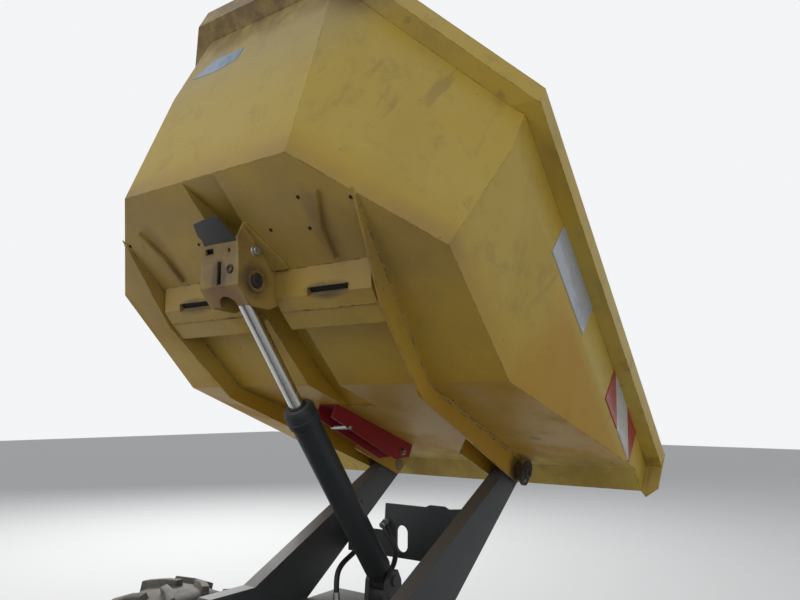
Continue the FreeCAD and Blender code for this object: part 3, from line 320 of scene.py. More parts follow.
@dataclass(frozen=True)
class SitePaint:
    """Sprayed enamel with dust, streaks, scratches and rust at its chips."""

    name: str
    colour: Colour
    faded: Colour
    dirt: Colour
    rust: Colour = (0.085, 0.032, 0.014)
    settled_dust: Colour = (0.30, 0.27, 0.22)
    gloss: float = 0.38
    dirt_share: float = 0.5
    rust_share: float = 0.5
    dust: float = 0.25
    edge_radius: float = 0.003
    shine: float = 0.35

    def stains(self, web: Web, colour: bpy.types.NodeSocket) -> bpy.types.NodeSocket:
        """Marks that belong to one place on the piece. Plain paint has none."""
        return colour

    def build(self) -> bpy.types.Material:
        """Make the paint.

        Returns:
            The material.
        """
        web = Web(self.name, self.shine)
        fade = web.ramp(web.noise(1.1, 3.0), 0.35, 0.7)
        colour = web.blend(fade, self.colour, self.faded)
        streak = web.noise(2.6, 6.0, 0.62, web.where((1.0, 1.0, 0.28)))
        below = web.ramp(web.upward(), 0.1, -0.75)
        soil = web.sum("MULTIPLY", web.ramp(streak, 0.42, 0.68), web.ramp(below, 0.0, 1.0, 0.25, 1.0))
        colour = web.blend(web.sum("MULTIPLY", soil, self.dirt_share), colour, self.dirt)
        grime = web.ramp(web.noise(11.0, 8.0, 0.7), 0.5, 0.72)
        colour = web.blend(web.sum("MULTIPLY", grime, self.dirt_share * 0.55), colour, self.dirt)
        scratch = web.noise(34.0, 3.0, 0.5, web.where((0.06, 1.0, 1.0), (0.0, 38.0, 24.0)))
        marks = web.ramp(scratch, 0.68, 0.74)
        colour = web.blend(web.sum("MULTIPLY", marks, 0.35), colour, self.faded)
        colour = self.stains(web, colour)
        chips = web.ramp(web.noise(42.0, 6.0, 0.7), 0.66, 0.70)
        worn = web.sum("MULTIPLY", web.edges(0.006), web.ramp(web.noise(23.0, 5.0, 0.7), 0.45, 0.6))
        bare = web.sum("MAXIMUM", web.sum("MULTIPLY", chips, self.rust_share), worn)
        colour = web.blend(bare, colour, self.rust)
        settled = web.sum("MULTIPLY", web.ramp(web.upward(), 0.3, 0.95), self.dust)
        colour = web.blend(settled, colour, self.settled_dust)
        rough = web.ramp(web.sum("ADD", soil, bare), 0.0, 1.0, self.gloss, 0.85)
        web.rounded(self.edge_radius)
        web.bump(web.noise(260.0, 2.0), 0.00025)
        web.bump(bare, -0.0004)
        return web.finish(colour, rough, coat=0.03)


@dataclass(frozen=True)
class SkipPaint(SitePaint):
    """The skip's enamel, with the rust and spills of its rear, the film under its floor, and painted shade
    and glare.
    """

    spill: Colour = (0.17, 0.105, 0.055)
    film: Colour = (0.21, 0.145, 0.065)
    spill_low: float = 0.10
    spill_high: float = 0.30
    spill_rear: float = 1.80
    film_front: float = 0.85
    film_rear: float = 1.30
    # Painted light and shade: the next three colours darken the lower walls and floor, darken and warm the
    # front slope's underside, and grey the rear end as glare.
    shaded: Colour = (0.42, 0.245, 0.026)
    slope_painted_shade: Colour = (0.40, 0.205, 0.006)
    rear_painted_glare: Colour = (0.33, 0.285, 0.17)
    # Smudges of dirt and rust, and near-black patches that are painted shade in recesses.
    smudges_and_recess_shade: tuple[tuple[Point, Point, float, Colour], ...] = (
        ((-1.390, 0.0, -0.460), (0.130, 0.140, 0.110), 0.55, (0.11, 0.060, 0.022)),
        # Painted shadow: near-black in the opening under the ram bracket.
        ((-1.388, 0.0, -0.476), (0.072, 0.040, 0.060), 1.00, (0.014, 0.010, 0.008)),
        ((-1.330, 0.087, -0.438), (0.075, 0.034, 0.068), 0.95, (0.016, 0.012, 0.010)),
        ((-1.310, 0.0, -0.505), (0.080, 0.100, 0.030), 0.75, (0.22, 0.085, 0.020)),
        ((-1.450, 0.060, -0.400), (0.070, 0.070, 0.040), 0.60, (0.10, 0.050, 0.020)),
        # Painted shade: dark at the two slots under the floor.
        ((-1.245, 0.300, -0.400), (0.035, 0.110, 0.030), 0.85, (0.035, 0.022, 0.012)),
        ((-1.420, 0.360, -0.350), (0.160, 0.050, 0.030), 0.55, (0.16, 0.075, 0.028)),
        ((-0.020, 0.365, -0.020), (0.110, 0.080, 0.085), 0.92, (0.020, 0.014, 0.010)),
        # Painted shade: dark inside the rib channels near the front.
        ((-0.170, 0.300, 0.040), (0.120, 0.060, 0.070), 0.80, (0.050, 0.030, 0.016)),
        ((-0.300, 0.560, -0.100), (0.030, 0.030, 0.040), 0.80, (0.12, 0.045, 0.016)),
    )

    def near(self, web: Web, place: Sequence[bpy.types.NodeSocket], centre: Point,
             reach: Point) -> bpy.types.NodeSocket:
        """One at a place, falling to zero at a distance along each axis."""
        total = None
        for axis, middle, span in zip(place, centre, reach):
            gap = web.sum("DIVIDE", web.sum("SUBTRACT", axis, middle), span)
            square = web.sum("MULTIPLY", gap, gap)
            total = square if total is None else web.sum("ADD", total, square)
        return web.ramp(total, 1.0, 0.12)

    def stains(self, web: Web, colour: bpy.types.NodeSocket) -> bpy.types.NodeSocket:
        """Painted shade low down and under the front slope, painted glare at the rear end, smudges of dirt
        and rust with painted shade in recesses, rust at the top of the rear wall, a film under the rear of
        the floor, and runs below the rim.
        """
        place = web.parts(web.at_skip())
        x, z = place[0], place[2]
        # Painted shade: the lower walls and the floor are darkened towards the bottom.
        colour = web.blend(web.ramp(z, -0.20, -0.34, 0.0, 0.5), colour, self.shaded)
        # Painted shade: the front slope's underside is darkened and warmed.
        front = web.sum("MULTIPLY", web.ramp(x, -0.95, -0.72), web.ramp(z, 0.06, -0.03, 0.0, 0.75))
        colour = web.blend(front, colour, self.slope_painted_shade)
        # Painted glare: the rear end is washed towards grey.
        colour = web.blend(web.ramp(x, -1.76, -1.90, 0.0, 0.45), colour, self.rear_painted_glare)
        mottling = web.ramp(web.noise(16.0, 6.0, 0.65), 0.25, 0.60, 0.35, 1.0)
        for spot, reach, share, tint in self.smudges_and_recess_shade:
            for side in (1.0, -1.0):
                close = self.near(web, place, (spot[0], spot[1] * side, spot[2]), reach)
                mark = web.sum("MULTIPLY", web.sum("MULTIPLY", close, mottling), share)
                colour = web.blend(mark, colour, tint)
        cloud = web.ramp(web.noise(6.5, 7.0, 0.68), 0.36, 0.62)
        high = web.ramp(z, self.spill_low, self.spill_high)
        rear = web.ramp(x, -self.spill_rear, -self.spill_rear - 0.1)
        spill = web.sum("MULTIPLY", web.sum("MULTIPLY", high, rear), cloud)
        colour = web.blend(web.sum("MULTIPLY", spill, 0.85), colour, self.spill)
        under = web.ramp(z, -0.27, -0.345)
        back = web.ramp(x, -self.film_front, -self.film_rear)
        wash = web.ramp(web.noise(3.2, 6.0, 0.6), 0.3, 0.65, 0.35, 1.0)
        film = web.sum("MULTIPLY", web.sum("MULTIPLY", under, back), wash)
        colour = web.blend(web.sum("MULTIPLY", film, 0.5), colour, self.film)
        run = web.ramp(web.noise(9.0, 5.0, 0.6, web.stretched_skip((1.0, 1.0, 0.09))), 0.60, 0.68)
        side = web.ramp(web.sum("MULTIPLY", z, 1.0), -0.3, 0.2, 0.1, 0.4)
        return web.blend(web.sum("MULTIPLY", run, side), colour, self.dirt)


@dataclass(frozen=True)
class TreadRubber:
    """Tyre rubber, dusty on the bars and darker between them."""

    name: str
    colour: Colour = (0.040, 0.038, 0.036)
    dust: Colour = (0.27, 0.25, 0.215)

    def build(self) -> bpy.types.Material:
        """Make the rubber.

        Returns:
            The material.
        """
        web = Web(self.name)
        cloud = web.noise(9.0, 7.0, 0.65)
        fine = web.noise(70.0, 5.0, 0.7)
        amount = web.ramp(web.sum("ADD", cloud, web.sum("MULTIPLY", fine, 0.5)), 0.5, 0.95, 0.1, 0.75)
        worn = web.sum("MAXIMUM", amount, web.sum("MULTIPLY", web.edges(0.008), 0.7))
        colour = web.blend(worn, self.colour, self.dust)
        web.bump(fine, 0.0012)
        return web.finish(colour, web.ramp(amount, 0.0, 1.0, 0.6, 0.92))


@dataclass(frozen=True)
class Metal:
    """Bare or plated metal with fine marks."""

    name: str
    colour: Colour
    rough: float
    grime: Colour = (0.10, 0.08, 0.06)
    grime_share: float = 0.3

    def build(self) -> bpy.types.Material:
        """Make the metal.

        Returns:
            The material.
        """
        web = Web(self.name)
        film = web.ramp(web.noise(13.0, 6.0, 0.65), 0.5, 0.75)
        colour = web.blend(web.sum("MULTIPLY", film, self.grime_share), self.colour, self.grime)
        marks = web.noise(120.0, 3.0, 0.6, web.where((1.0, 1.0, 0.08)))
        rough = web.ramp(web.sum("ADD", marks, web.sum("MULTIPLY", film, self.grime_share)), 0.3, 1.1,
                         self.rough, self.rough + 0.35)
        web.bump(marks, 0.0001)
        return web.finish(colour, rough, metal=1.0)


@dataclass(frozen=True)
class Moulding:
    """Moulded plastic, rubber or vinyl with a fine grain."""

    name: str
    colour: Colour
    rough: float = 0.55
    grain: float = 420.0
    depth: float = 0.0003
    dust: float = 0.35

    def build(self) -> bpy.types.Material:
        """Make the plastic.

        Returns:
            The material.
        """
        web = Web(self.name)
        dust = web.ramp(web.noise(5.0, 6.0, 0.65), 0.5, 0.8, 0.0, self.dust)
        lit = web.sum("MULTIPLY", dust, web.ramp(web.upward(), -0.2, 0.9, 0.2, 1.0))
        colour = web.blend(lit, self.colour, (0.33, 0.30, 0.25))
        web.bump(web.cells(self.grain), self.depth)
        return web.finish(colour, web.ramp(lit, 0.0, 0.4, self.rough, 0.85))


@dataclass(frozen=True)
class Film:
    """Thin sheet such as reflective tape or a blank plate, with cells, dirt and scuffs."""

    name: str
    colour: Colour
    dirt: Colour = (0.20, 0.17, 0.12)
    dirt_share: float = 0.35
    cells: float = 240.0
    rough: float = 0.32

    def build(self) -> bpy.types.Material:
        """Make the film.

        Returns:
            The material.
        """
        web = Web(self.name)
        grid = web.ramp(web.cells(self.cells), 0.1, 0.75)
        colour = web.blend(web.sum("MULTIPLY", grid, 0.18), self.colour, tuple(c * 0.6 for c in self.colour))
        soil = web.ramp(web.noise(14.0, 7.0, 0.68), 0.45, 0.72)
        colour = web.blend(web.sum("MULTIPLY", soil, self.dirt_share), colour, self.dirt)
        scuff = web.ramp(web.noise(60.0, 3.0, 0.5, web.where((0.1, 1.0, 1.0), (20.0, 30.0, 0.0))), 0.7, 0.75)
        colour = web.blend(web.sum("MULTIPLY", scuff, 0.5), colour, self.dirt)
        web.bump(grid, 0.0001)
        return web.finish(colour, web.ramp(soil, 0.0, 1.0, self.rough, 0.75), coat=0.2)


@dataclass(frozen=True)
class Lens:
    """Coloured lens plastic with ribs that show in its gloss."""

    name: str
    colour: Colour
    rib: float = 160.0

    def build(self) -> bpy.types.Material:
        """Make the lens.

        Returns:
            The material.
        """
        web = Web(self.name)
        deep = web.ramp(web.noise(30.0, 2.0), 0.2, 0.8)
        colour = web.blend(deep, self.colour, tuple(c * 0.7 for c in self.colour))
        web.bump(web.noise(self.rib, 1.0, 0.4, web.where((0.1, 1.0, 1.0))), 0.0004)
        return web.finish(colour, 0.12, coat=0.6)


FINISHES = {
    Coat.SKIP: SkipPaint("skip_enamel", (0.46, 0.315, 0.040), (0.47, 0.345, 0.075), (0.17, 0.105, 0.04),
                         gloss=0.48),
    Coat.CHASSIS: SitePaint("chassis_enamel", (0.036, 0.040, 0.043), (0.062, 0.066, 0.068),
                            (0.085, 0.075, 0.06), gloss=0.5),
    Coat.WHEEL: SitePaint("wheel_enamel", (0.44, 0.30, 0.045), (0.46, 0.335, 0.08), (0.17, 0.12, 0.06)),
    Coat.PROP: SitePaint("prop_enamel", (0.27, 0.010, 0.016), (0.30, 0.020, 0.024), (0.05, 0.015, 0.015),
                         gloss=0.5, dirt_share=0.35),
    Coat.STEEL: Metal("worn_steel", (0.30, 0.285, 0.27), 0.42, grime_share=0.6),
    Coat.CHROME: Metal("chromed_rod", (0.62, 0.62, 0.61), 0.14, grime_share=0.15),
    Coat.TYRE: TreadRubber("tread_rubber"),
    Coat.DECK: SitePaint("deck_enamel", (0.03, 0.03, 0.032), (0.06, 0.06, 0.06), (0.12, 0.10, 0.075),
                         gloss=0.55, dust=0.4),
    Coat.PLASTIC: Moulding("console_plastic", (0.022, 0.022, 0.024)),
    Coat.SEAT: Moulding("seat_vinyl", (0.016, 0.016, 0.018), 0.42, 260.0, 0.0004),
    Coat.ENGINE: SitePaint("engine_enamel", (0.07, 0.075, 0.08), (0.1, 0.1, 0.1), (0.05, 0.04, 0.03),
                           gloss=0.5),
    Coat.IRON: SitePaint("iron_enamel", (0.04, 0.042, 0.045), (0.07, 0.07, 0.07), (0.11, 0.09, 0.07),
                         gloss=0.55),
    Coat.BARREL: SitePaint("ram_enamel", (0.018, 0.023, 0.027), (0.028, 0.033, 0.037), (0.035, 0.030, 0.025),
                           gloss=0.52),
    Coat.HOSE: Moulding("hose_cover", (0.012, 0.012, 0.013), 0.6, 900.0, 0.0002, 0.2),
    Coat.ZINC: Metal("zinc_plated", (0.52, 0.53, 0.52), 0.38, grime_share=0.35),
    Coat.WELD: SitePaint("painted_weld", (0.33, 0.22, 0.04), (0.36, 0.26, 0.07), (0.10, 0.06, 0.03),
                         gloss=0.5, rust_share=0.9, edge_radius=0.0006),
    Coat.TAPE_RED: Film("red_film", (0.33, 0.028, 0.03)),
    Coat.TAPE_WHITE: Film("white_film", (0.50, 0.50, 0.48)),
    Coat.BLANK: Film("blank_film", (0.40, 0.43, 0.47), cells=500.0, dirt_share=0.2),
    Coat.FADED: Film("faded_film", (0.22, 0.30, 0.42), cells=500.0, dirt_share=0.3),
    Coat.AMBER: Lens("amber_plastic", (0.75, 0.27, 0.02)),
    Coat.LAMP_RED: Lens("red_plastic", (0.45, 0.02, 0.02)),
    Coat.DIAL: Film("dial_print", (0.55, 0.55, 0.53), cells=900.0, dirt_share=0.1),
    Coat.HOLLOW: SitePaint("painted_gap_shade", (0.006, 0.006, 0.006), (0.01, 0.01, 0.01), (0.02, 0.016, 0.012),
                           gloss=0.8, rust_share=0.2),
}


class Palette:
    """The finished materials, made once each."""

    def __init__(self) -> None:
        """Start with nothing made."""
        self.made: dict[Coat, bpy.types.Material] = {}

    def get(self, coat: Coat) -> bpy.types.Material:
        """The material of a finish, made on first use."""
        if coat not in self.made:
            self.made[coat] = FINISHES[coat].build()
        return self.made[coat]

    def dress(self, item: bpy.types.Object, coat: Coat) -> None:
        """Give a whole piece one finish."""
        item.data.materials.clear()
        item.data.materials.append(self.get(coat))


def alone(item: bpy.types.Object) -> None:
    """Select and activate one piece and nothing else."""
    bpy.ops.object.select_all(action="DESELECT")
    item.select_set(True)
    bpy.context.view_layer.objects.active = item


@contextmanager
def editing(item: bpy.types.Object, kind: str = "FACE",
            test: Callable[[Vector, Vector], bool] | None = None) -> Iterator[None]:
    """Open a piece in edit mode with the parts that pass a test selected.

    Args:
        item: The piece.
        kind: VERT or FACE.
        test: Called with a part's place and normal, or None for all.
    """
    alone(item)
    bpy.ops.object.mode_set(mode="EDIT")
    bpy.ops.mesh.select_mode(type=kind)
    bpy.ops.mesh.select_all(action="DESELECT" if test else "SELECT")
    if test:
        bpy.ops.object.mode_set(mode="OBJECT")
        if kind == "VERT":
            for point in item.data.vertices:
                point.select = test(point.co, point.normal)
        else:
            for face in item.data.polygons:
                face.select = test(face.center, face.normal)
        bpy.ops.object.mode_set(mode="EDIT")
    yield
    bpy.ops.object.mode_set(mode="OBJECT")


def applied(item: bpy.types.Object) -> bpy.types.Object:
    """Move a piece's place, turn and scale into its mesh."""
    alone(item)
    bpy.ops.object.transform_apply(location=True, rotation=True, scale=True)
    return item


def block(name: str, low: Sequence[float], high: Sequence[float]) -> bpy.types.Object:
    """A box between two corners, as a start.

    Args:
        name: The piece's name.
        low: Lowest corner.
        high: Highest corner.

    Returns:
        The piece.
    """
    bpy.ops.object.select_all(action="DESELECT")
    middle = [(a + b) / 2 for a, b in zip(low, high)]
    bpy.ops.mesh.primitive_cube_add(size=1.0, location=middle, scale=[b - a for a, b in zip(low, high)])
    item = bpy.context.object
    item.name = name
    return applied(item)


def chain(name: str, points: Sequence[Sequence[float]]) -> bpy.types.Object:
    """A line of edges through points, extruded one by one and left open in edit mode.

    Args:
        name: The piece's name.
        points: Its points in order.

    Returns:
        The piece, in edit mode with all selected.
    """
    bpy.ops.object.select_all(action="DESELECT")
    bpy.ops.mesh.primitive_plane_add(size=0.01, location=(0.0, 0.0, 0.0))
    item = bpy.context.object
    item.name = name
    bpy.ops.object.mode_set(mode="EDIT")
    bpy.ops.mesh.select_mode(type="VERT")
    bpy.ops.mesh.select_all(action="SELECT")
    bpy.ops.mesh.merge(type="CENTER")
    last = Vector((0.0, 0.0, 0.0))
    for number, point in enumerate(points):
        step = Vector(point) - last
        if number == 0:
            bpy.ops.transform.translate(value=step)
        else:
            bpy.ops.mesh.extrude_vertices_move(TRANSFORM_OT_translate={"value": step})
        last = Vector(point)
    bpy.ops.mesh.select_all(action="SELECT")
    return item


def plate(name: str, corners: Sequence[Sequence[float]], push: Sequence[float]) -> bpy.types.Object:
    """A flat outline extruded along one vector.

    Args:
        name: The piece's name.
        corners: Outline points in order.
        push: The extrusion.

    Returns:
        The piece.
    """
    item = chain(name, corners)
    bpy.ops.mesh.edge_face_add()
    bpy.ops.mesh.extrude_region_move(TRANSFORM_OT_translate={"value": push})
    bpy.ops.mesh.select_all(action="SELECT")
    bpy.ops.mesh.normals_make_consistent(inside=False)
    bpy.ops.object.mode_set(mode="OBJECT")
    return item


def lathe(name: str, centre: Sequence[float], axis: str, profile: Sequence[Pair],
          steps: int = 32) -> bpy.types.Object:
    """A profile spun about an axis.

    Args:
        name: The piece's name.
        centre: A point on the axis.
        axis: x, y or z.
        profile: Points as (distance along the axis, radius).
        steps: Sides of the full turn.

    Returns:
        The piece.
    """
    along = AXES[axis]
    out = AXES["z" if axis != "z" else "x"]
    item = chain(name, [Vector(centre) + along * a + out * r for a, r in profile])
    bpy.ops.mesh.spin(steps=steps, angle=math.tau, center=centre, axis=along)
    bpy.ops.mesh.select_all(action="SELECT")
    bpy.ops.mesh.remove_doubles(threshold=0.00002)
    bpy.ops.mesh.normals_make_consistent(inside=False)
    bpy.ops.object.mode_set(mode="OBJECT")
    return item


def turned(name: str, profile: Sequence[Pair], steps: int = 32) -> bpy.types.Object:
    """A profile spun about +Z at the origin, as points of (height, radius)."""
    return lathe(name, (0.0, 0.0, 0.0), "z", profile, steps)


def softened(item: bpy.types.Object, width: float, segments: int = 2,
             angle: float = 30.0) -> bpy.types.Object:
    """Round a piece's sharp edges and smooth its shading.

    Args:
        item: The piece.
        width: Width of the rounding.
        segments: Faces across it.
        angle: Smallest turn between faces that counts as an edge, in degrees.

    Returns:
        The same piece.
    """
    alone(item)
    edge = item.modifiers.new("edge", "BEVEL")
    edge.width = width
    edge.segments = segments
    edge.limit_method = "ANGLE"
    edge.angle_limit = math.radians(angle)
    bpy.ops.object.modifier_apply(modifier=edge.name)
    return smooth(item)


def smooth(item: bpy.types.Object, angle: float = 40.0) -> bpy.types.Object:
    """Shade a piece smooth but for edges sharper than an angle in degrees."""
    alone(item)
    bpy.ops.object.shade_smooth_by_angle(angle=math.radians(angle))
    return item


def moved(item: bpy.types.Object, place: Matrix) -> bpy.types.Object:
    """Carry a piece's mesh by a matrix."""
    item.data.transform(place)
    item.data.update()
    return item


def joined(name: str, items: Sequence[bpy.types.Object]) -> bpy.types.Object:
    """Make one piece of several.

    Args:
        name: The new piece's name.
        items: The pieces, which are used up.

    Returns:
        The piece.
    """
    bpy.ops.object.select_all(action="DESELECT")
    for item in items:
        item.select_set(True)
    bpy.context.view_layer.objects.active = items[0]
    if len(items) > 1:
        bpy.ops.object.join()
    items[0].name = name
    return items[0]


def copies(name: str, item: bpy.types.Object, places: Sequence[Matrix]) -> bpy.types.Object:
    """Copy a piece to many places, each with its own mesh, and join them.

    Args:
        name: The joined piece's name.
        item: The piece to copy, which is used up.
        places: Where the copies go.

    Returns:
        The joined piece.
    """
    twins = []
    for place in places:
        twin = item.copy()
        twin.data = item.data.copy()
        twin.data.transform(place)
        bpy.context.scene.collection.objects.link(twin)
        twins.append(twin)
    bpy.data.objects.remove(item)
    return joined(name, twins)


def facing(place: Sequence[float], normal: Sequence[float], turn: float = 0.0) -> Matrix:
    """A place whose +Z looks along a normal.

    Args:
        place: Where the origin goes.
        normal: Where +Z looks.
        turn: Turn about the normal in degrees.

    Returns:
        The matrix.
    """
    look = Vector(normal).to_track_quat("Z", "Y").to_matrix().to_4x4()
    return Matrix.Translation(place) @ look @ Matrix.Rotation(math.radians(turn), 4, "Z")


def pressed(item: bpy.types.Object, axis: str, thickness: float, depth: float, both: bool = False) -> None:
    """Inset the faces that look along an axis, and push them out or in.

    Args:
        item: The piece.
        axis: x, y, z, or -x, -y, -z.
        thickness: Width of the border that stays.
        depth: How far out they go, or in where negative.
        both: True for the faces that look the other way too.
    """
    look = AXES[axis[-1]] * (-1.0 if axis[0] == "-" else 1.0)
    with editing(item, "FACE", lambda centre,
                 normal: (abs(normal.dot(look)) if both else normal.dot(look)) > 0.9):
        bpy.ops.mesh.inset(thickness=thickness, depth=depth)


def hex_bolt(size: float) -> bpy.types.Object:
    """A hexagon head on its washer about +Z, sitting on Z = 0.

    Args:
        size: Thread diameter.

    Returns:
        The piece.
    """
    washer = lathe("washer", (0.0, 0.0, 0.0), "z", [
        (0.0, 0.0), (0.0, size * 1.05), (size * 0.14, size * 1.05), (size * 0.2, size * 0.98),
        (size * 0.2, 0.0),
    ], 20)
    bpy.ops.object.select_all(action="DESELECT")
    bpy.ops.mesh.primitive_cylinder_add(vertices=6, radius=size * 0.92, depth=size * 0.64,
                                        location=(0.0, 0.0, size * 0.52))
    head = applied(bpy.context.object)
    with editing(head, "FACE", lambda centre, normal: normal.z > 0.9):
        bpy.ops.mesh.inset(thickness=size * 0.16, depth=size * 0.06)
        bpy.ops.mesh.inset(thickness=size * 0.3, depth=-size * 0.05)
    softened(head, size * 0.05, 1)
    return joined("bolt", [head, smooth(washer)])


def weld_bead(name: str, start: Sequence[float], end: Sequence[float], width: float) -> bpy.types.Object:
    """A rippled bead of weld along a straight line.

    Args:
        name: The piece's name.
        start: Its first point.
        end: Its last point.
        width: Width of the bead.

    Returns:
        The piece.
    """
    first, last = Vector(start), Vector(end)
    run = last - first
    count = max(3, int(run.length / (width * 0.62)))
    bpy.ops.object.select_all(action="DESELECT")
    bpy.ops.mesh.primitive_uv_sphere_add(segments=8, ring_count=5, radius=width / 2, location=(0.0, 0.0, 0.0))
    ripple = bpy.context.object
    with editing(ripple, "VERT", lambda place, normal: place.z > width * 0.2):
        bpy.ops.transform.translate(value=(width * 0.14, 0.0, -width * 0.08))
    look = run.to_track_quat("X", "Z").to_matrix().to_4x4()
    places = []
    for step in range(count):
        wobble = 1.0 + 0.12 * math.sin(step * 1.9) + 0.07 * math.sin(step * 4.3)
        spot = Matrix.Translation(first + run * (step / (count - 1)))
        places.append(spot @ look @ Matrix.Diagonal((0.9, wobble, wobble, 1.0)))
    return smooth(copies(name, ripple, places), 60.0)


def curved(name: str, points: Sequence[Sequence[float]], radius: float, steps: int = 12) -> bpy.types.Object:
    """A round curve bent smoothly through a few points, linked to the scene.

    Args:
        name: The curve's name.
        points: Control points of its line.
        radius: Its radius.
        steps: Parts between two control points.

    Returns:
        The curve.
    """
    data = bpy.data.curves.new(name, "CURVE")
    data.dimensions = "3D"
    data.bevel_depth = radius
    data.bevel_resolution = 3
    spline = data.splines.new("NURBS")
    spline.points.add(len(points) - 1)
    for knot, point in zip(spline.points, points):
        knot.co = (*point, 1.0)
    spline.use_endpoint_u = True
    spline.order_u = 3
    spline.resolution_u = steps
    item = bpy.data.objects.new(name, data)
    bpy.context.scene.collection.objects.link(item)
    return item


def tube(name: str, points: Sequence[Sequence[float]], radius: float) -> bpy.types.Object:
    """A round bar with closed ends, bent smoothly through a few points, as a mesh."""
    item = curved(name, points, radius, 10)
    item.data.use_fill_caps = True
    alone(item)
    bpy.ops.object.convert(target="MESH")
    return smooth(bpy.context.object)


@dataclass
class SubAssembly:
    """A group of pieces that are made together."""

    palette: Palette

    def add(self, item: bpy.types.Object, coat: Coat, body: str = "rear") -> bpy.types.Object:
        """Dress a finished piece and let it ride on its body.

        Args:
            item: The piece.
            coat: Its finish.
            body: The body's name.

        Returns:
            The same piece.
        """
        self.palette.dress(item, coat)
        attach(item, body)
        coat.slot
        log.info("%s on %s: %d faces", item.name, body, len(item.data.polygons))
        return item

    def build(self) -> None:
        """Make the pieces."""
        raise NotImplementedError


@dataclass
class SkipTrim(SubAssembly):
    """Films, welds, bolts and small plates on the skip, drawn with the skip lowered, from its tip pivot."""

    side_face: float = 0.8090
    film: float = 0.0012
    sunk: float = 0.003
    sheet: float = 0.0018
    stripe_rear: float = -0.376
    stripe_front: float = -0.048
    stripe_low: float = 0.040
    stripe_high: float = 0.214
    blank_rear: float = -1.010
    blank_front: float = -0.668
    blank_low: float = 0.042
    blank_high: float = 0.211
    rivet_in: float = 0.014
    floor: float = -0.350
    kink: float = -0.820
    web_front: float = 0.343
    web_toe: float = 0.1134
    web: float = 0.008
    rib_rear: float = -1.500
    slope_front: float = 0.020
    slope_rise: float = 0.5
    cheek: float = 0.087
    eye_back: float = -1.330
    eye_drop: float = -0.438

    def web_side(self, x: float) -> float:
        """Outer side of the outer web at a distance from the pivot."""
        return self.web_front - x * self.web_toe + self.web

    def slope(self, x: float) -> float:
        """Underside of the front slope at a distance from the pivot."""
        return self.floor + (x - self.kink) * self.slope_rise

    def finish(self, item: bpy.types.Object, coat: Coat) -> bpy.types.Object:
        """Tip a piece with the skip, dress it and let it ride."""
        return self.add(moved(item, SKIP_TURN), coat, "skip")

    def stripe(self, side: int) -> None:
        """Cut a marker plate into red, white and red slanted bands."""
        inner, outer = sorted(((self.side_face - self.sunk) * side, (self.side_face + self.film * 2) * side))
        item = block(f"marker_{'left' if side > 0 else 'right'}", (self.stripe_rear, inner, self.stripe_low),
                     (self.stripe_front, outer, self.stripe_high))
        lean = Vector((0.18, 0.0, 0.157)).normalized()
        first = Vector((self.stripe_rear, 0.0, self.stripe_high))
        second = first + Vector((0.167, 0.0, 0.0))
        for cut in (first, second):
            with editing(item):
                bpy.ops.mesh.bisect(plane_co=cut, plane_no=lean)
        softened(item, 0.0006, 1)
        self.finish(item, Coat.TAPE_RED)
        item.data.materials.append(self.palette.get(Coat.TAPE_WHITE))
        back = SKIP_TURN.inverted()
        for face in item.data.polygons:
            spot = back @ face.center
            face.material_index = int((spot - first).dot(lean) > 0.0 and (spot - second).dot(lean) < 0.0)

    def blank(self, side: int) -> None:
        """A bare plate where a sign is fixed, with its corner rivets."""
        outer = (self.side_face + self.sheet) * side
        low, high = sorted(((self.side_face - self.sunk) * side, outer))
        item = block(f"blank_plate_{'left' if side > 0 else 'right'}", (self.blank_rear, low, self.blank_low),
                     (self.blank_front, high, self.blank_high))
        self.finish(softened(item, 0.001, 2), Coat.BLANK)
        rivet = turned("rivet",
                       [(-0.001, 0.0), (-0.001, 0.0042), (0.0007, 0.0042), (0.0018, 0.0028), (0.0021, 0.0)],
                       14)
        ends = (self.blank_rear + self.rivet_in, self.blank_front - self.rivet_in)
        rows = (self.blank_low + self.rivet_in, self.blank_high - self.rivet_in)
        spots = [(x, outer, z) for x in ends for z in rows]
        item = copies(f"blank_rivets_{'left' if side > 0 else 'right'}", smooth(rivet),
                      [facing(p, (0.0, side, 0.0)) for p in spots])
        self.finish(item, Coat.ZINC)

    def faded_strip(self) -> None:
        """A torn strip of old film on the rear wall."""
        corners = [(-1.869, 0.282, 0.104), (-1.894, 0.194, 0.164), (-1.894, 0.051, 0.165),
                   (-1.873, 0.063, 0.114), (-1.865, 0.169, 0.095)]
        proud = Vector((-0.926, 0.0, -0.377))
        item = plate("faded_strip", [Vector(c) - proud * 0.002 for c in corners], proud * 0.0034)
        self.finish(softened(item, 0.0005, 1), Coat.FADED)

    def welds(self) -> None:
        """Beads at the webs' feet and the bracket's cheeks."""
        rows = []
        for side in (1, -1):
            for start, end in ((self.rib_rear, self.kink), (self.kink, self.slope_front)):
                for skin in (0.0, self.web):
                    points = [(x, side * (self.web_side(x) - skin),
                               self.slope(x) if x > self.kink else self.floor) for x in (start, end)]
                    rows.append((points[0], points[1], 0.011))
            for x in (-0.70, -0.58, -0.455, -0.33, -0.205):
                foot = self.web_side(x) + 0.002
                rows.append(((x - 0.03, side * foot, self.slope(x - 0.03) - 0.003),
                             (x + 0.03, side * foot, self.slope(x + 0.03) - 0.003), 0.019))
            rows.append(((self.eye_back - 0.155, side * (self.cheek + 0.001), self.floor - 0.001),
                         (self.eye_back + 0.125, side * (self.cheek + 0.001), self.floor - 0.001), 0.010))
            rows.append(((-1.190, side * 0.092, -0.414), (-1.190, side * 0.46, -0.414), 0.008))
        beads = [weld_bead("bead", *row) for row in rows]
        self.finish(joined("skip_welds", beads), Coat.WELD)

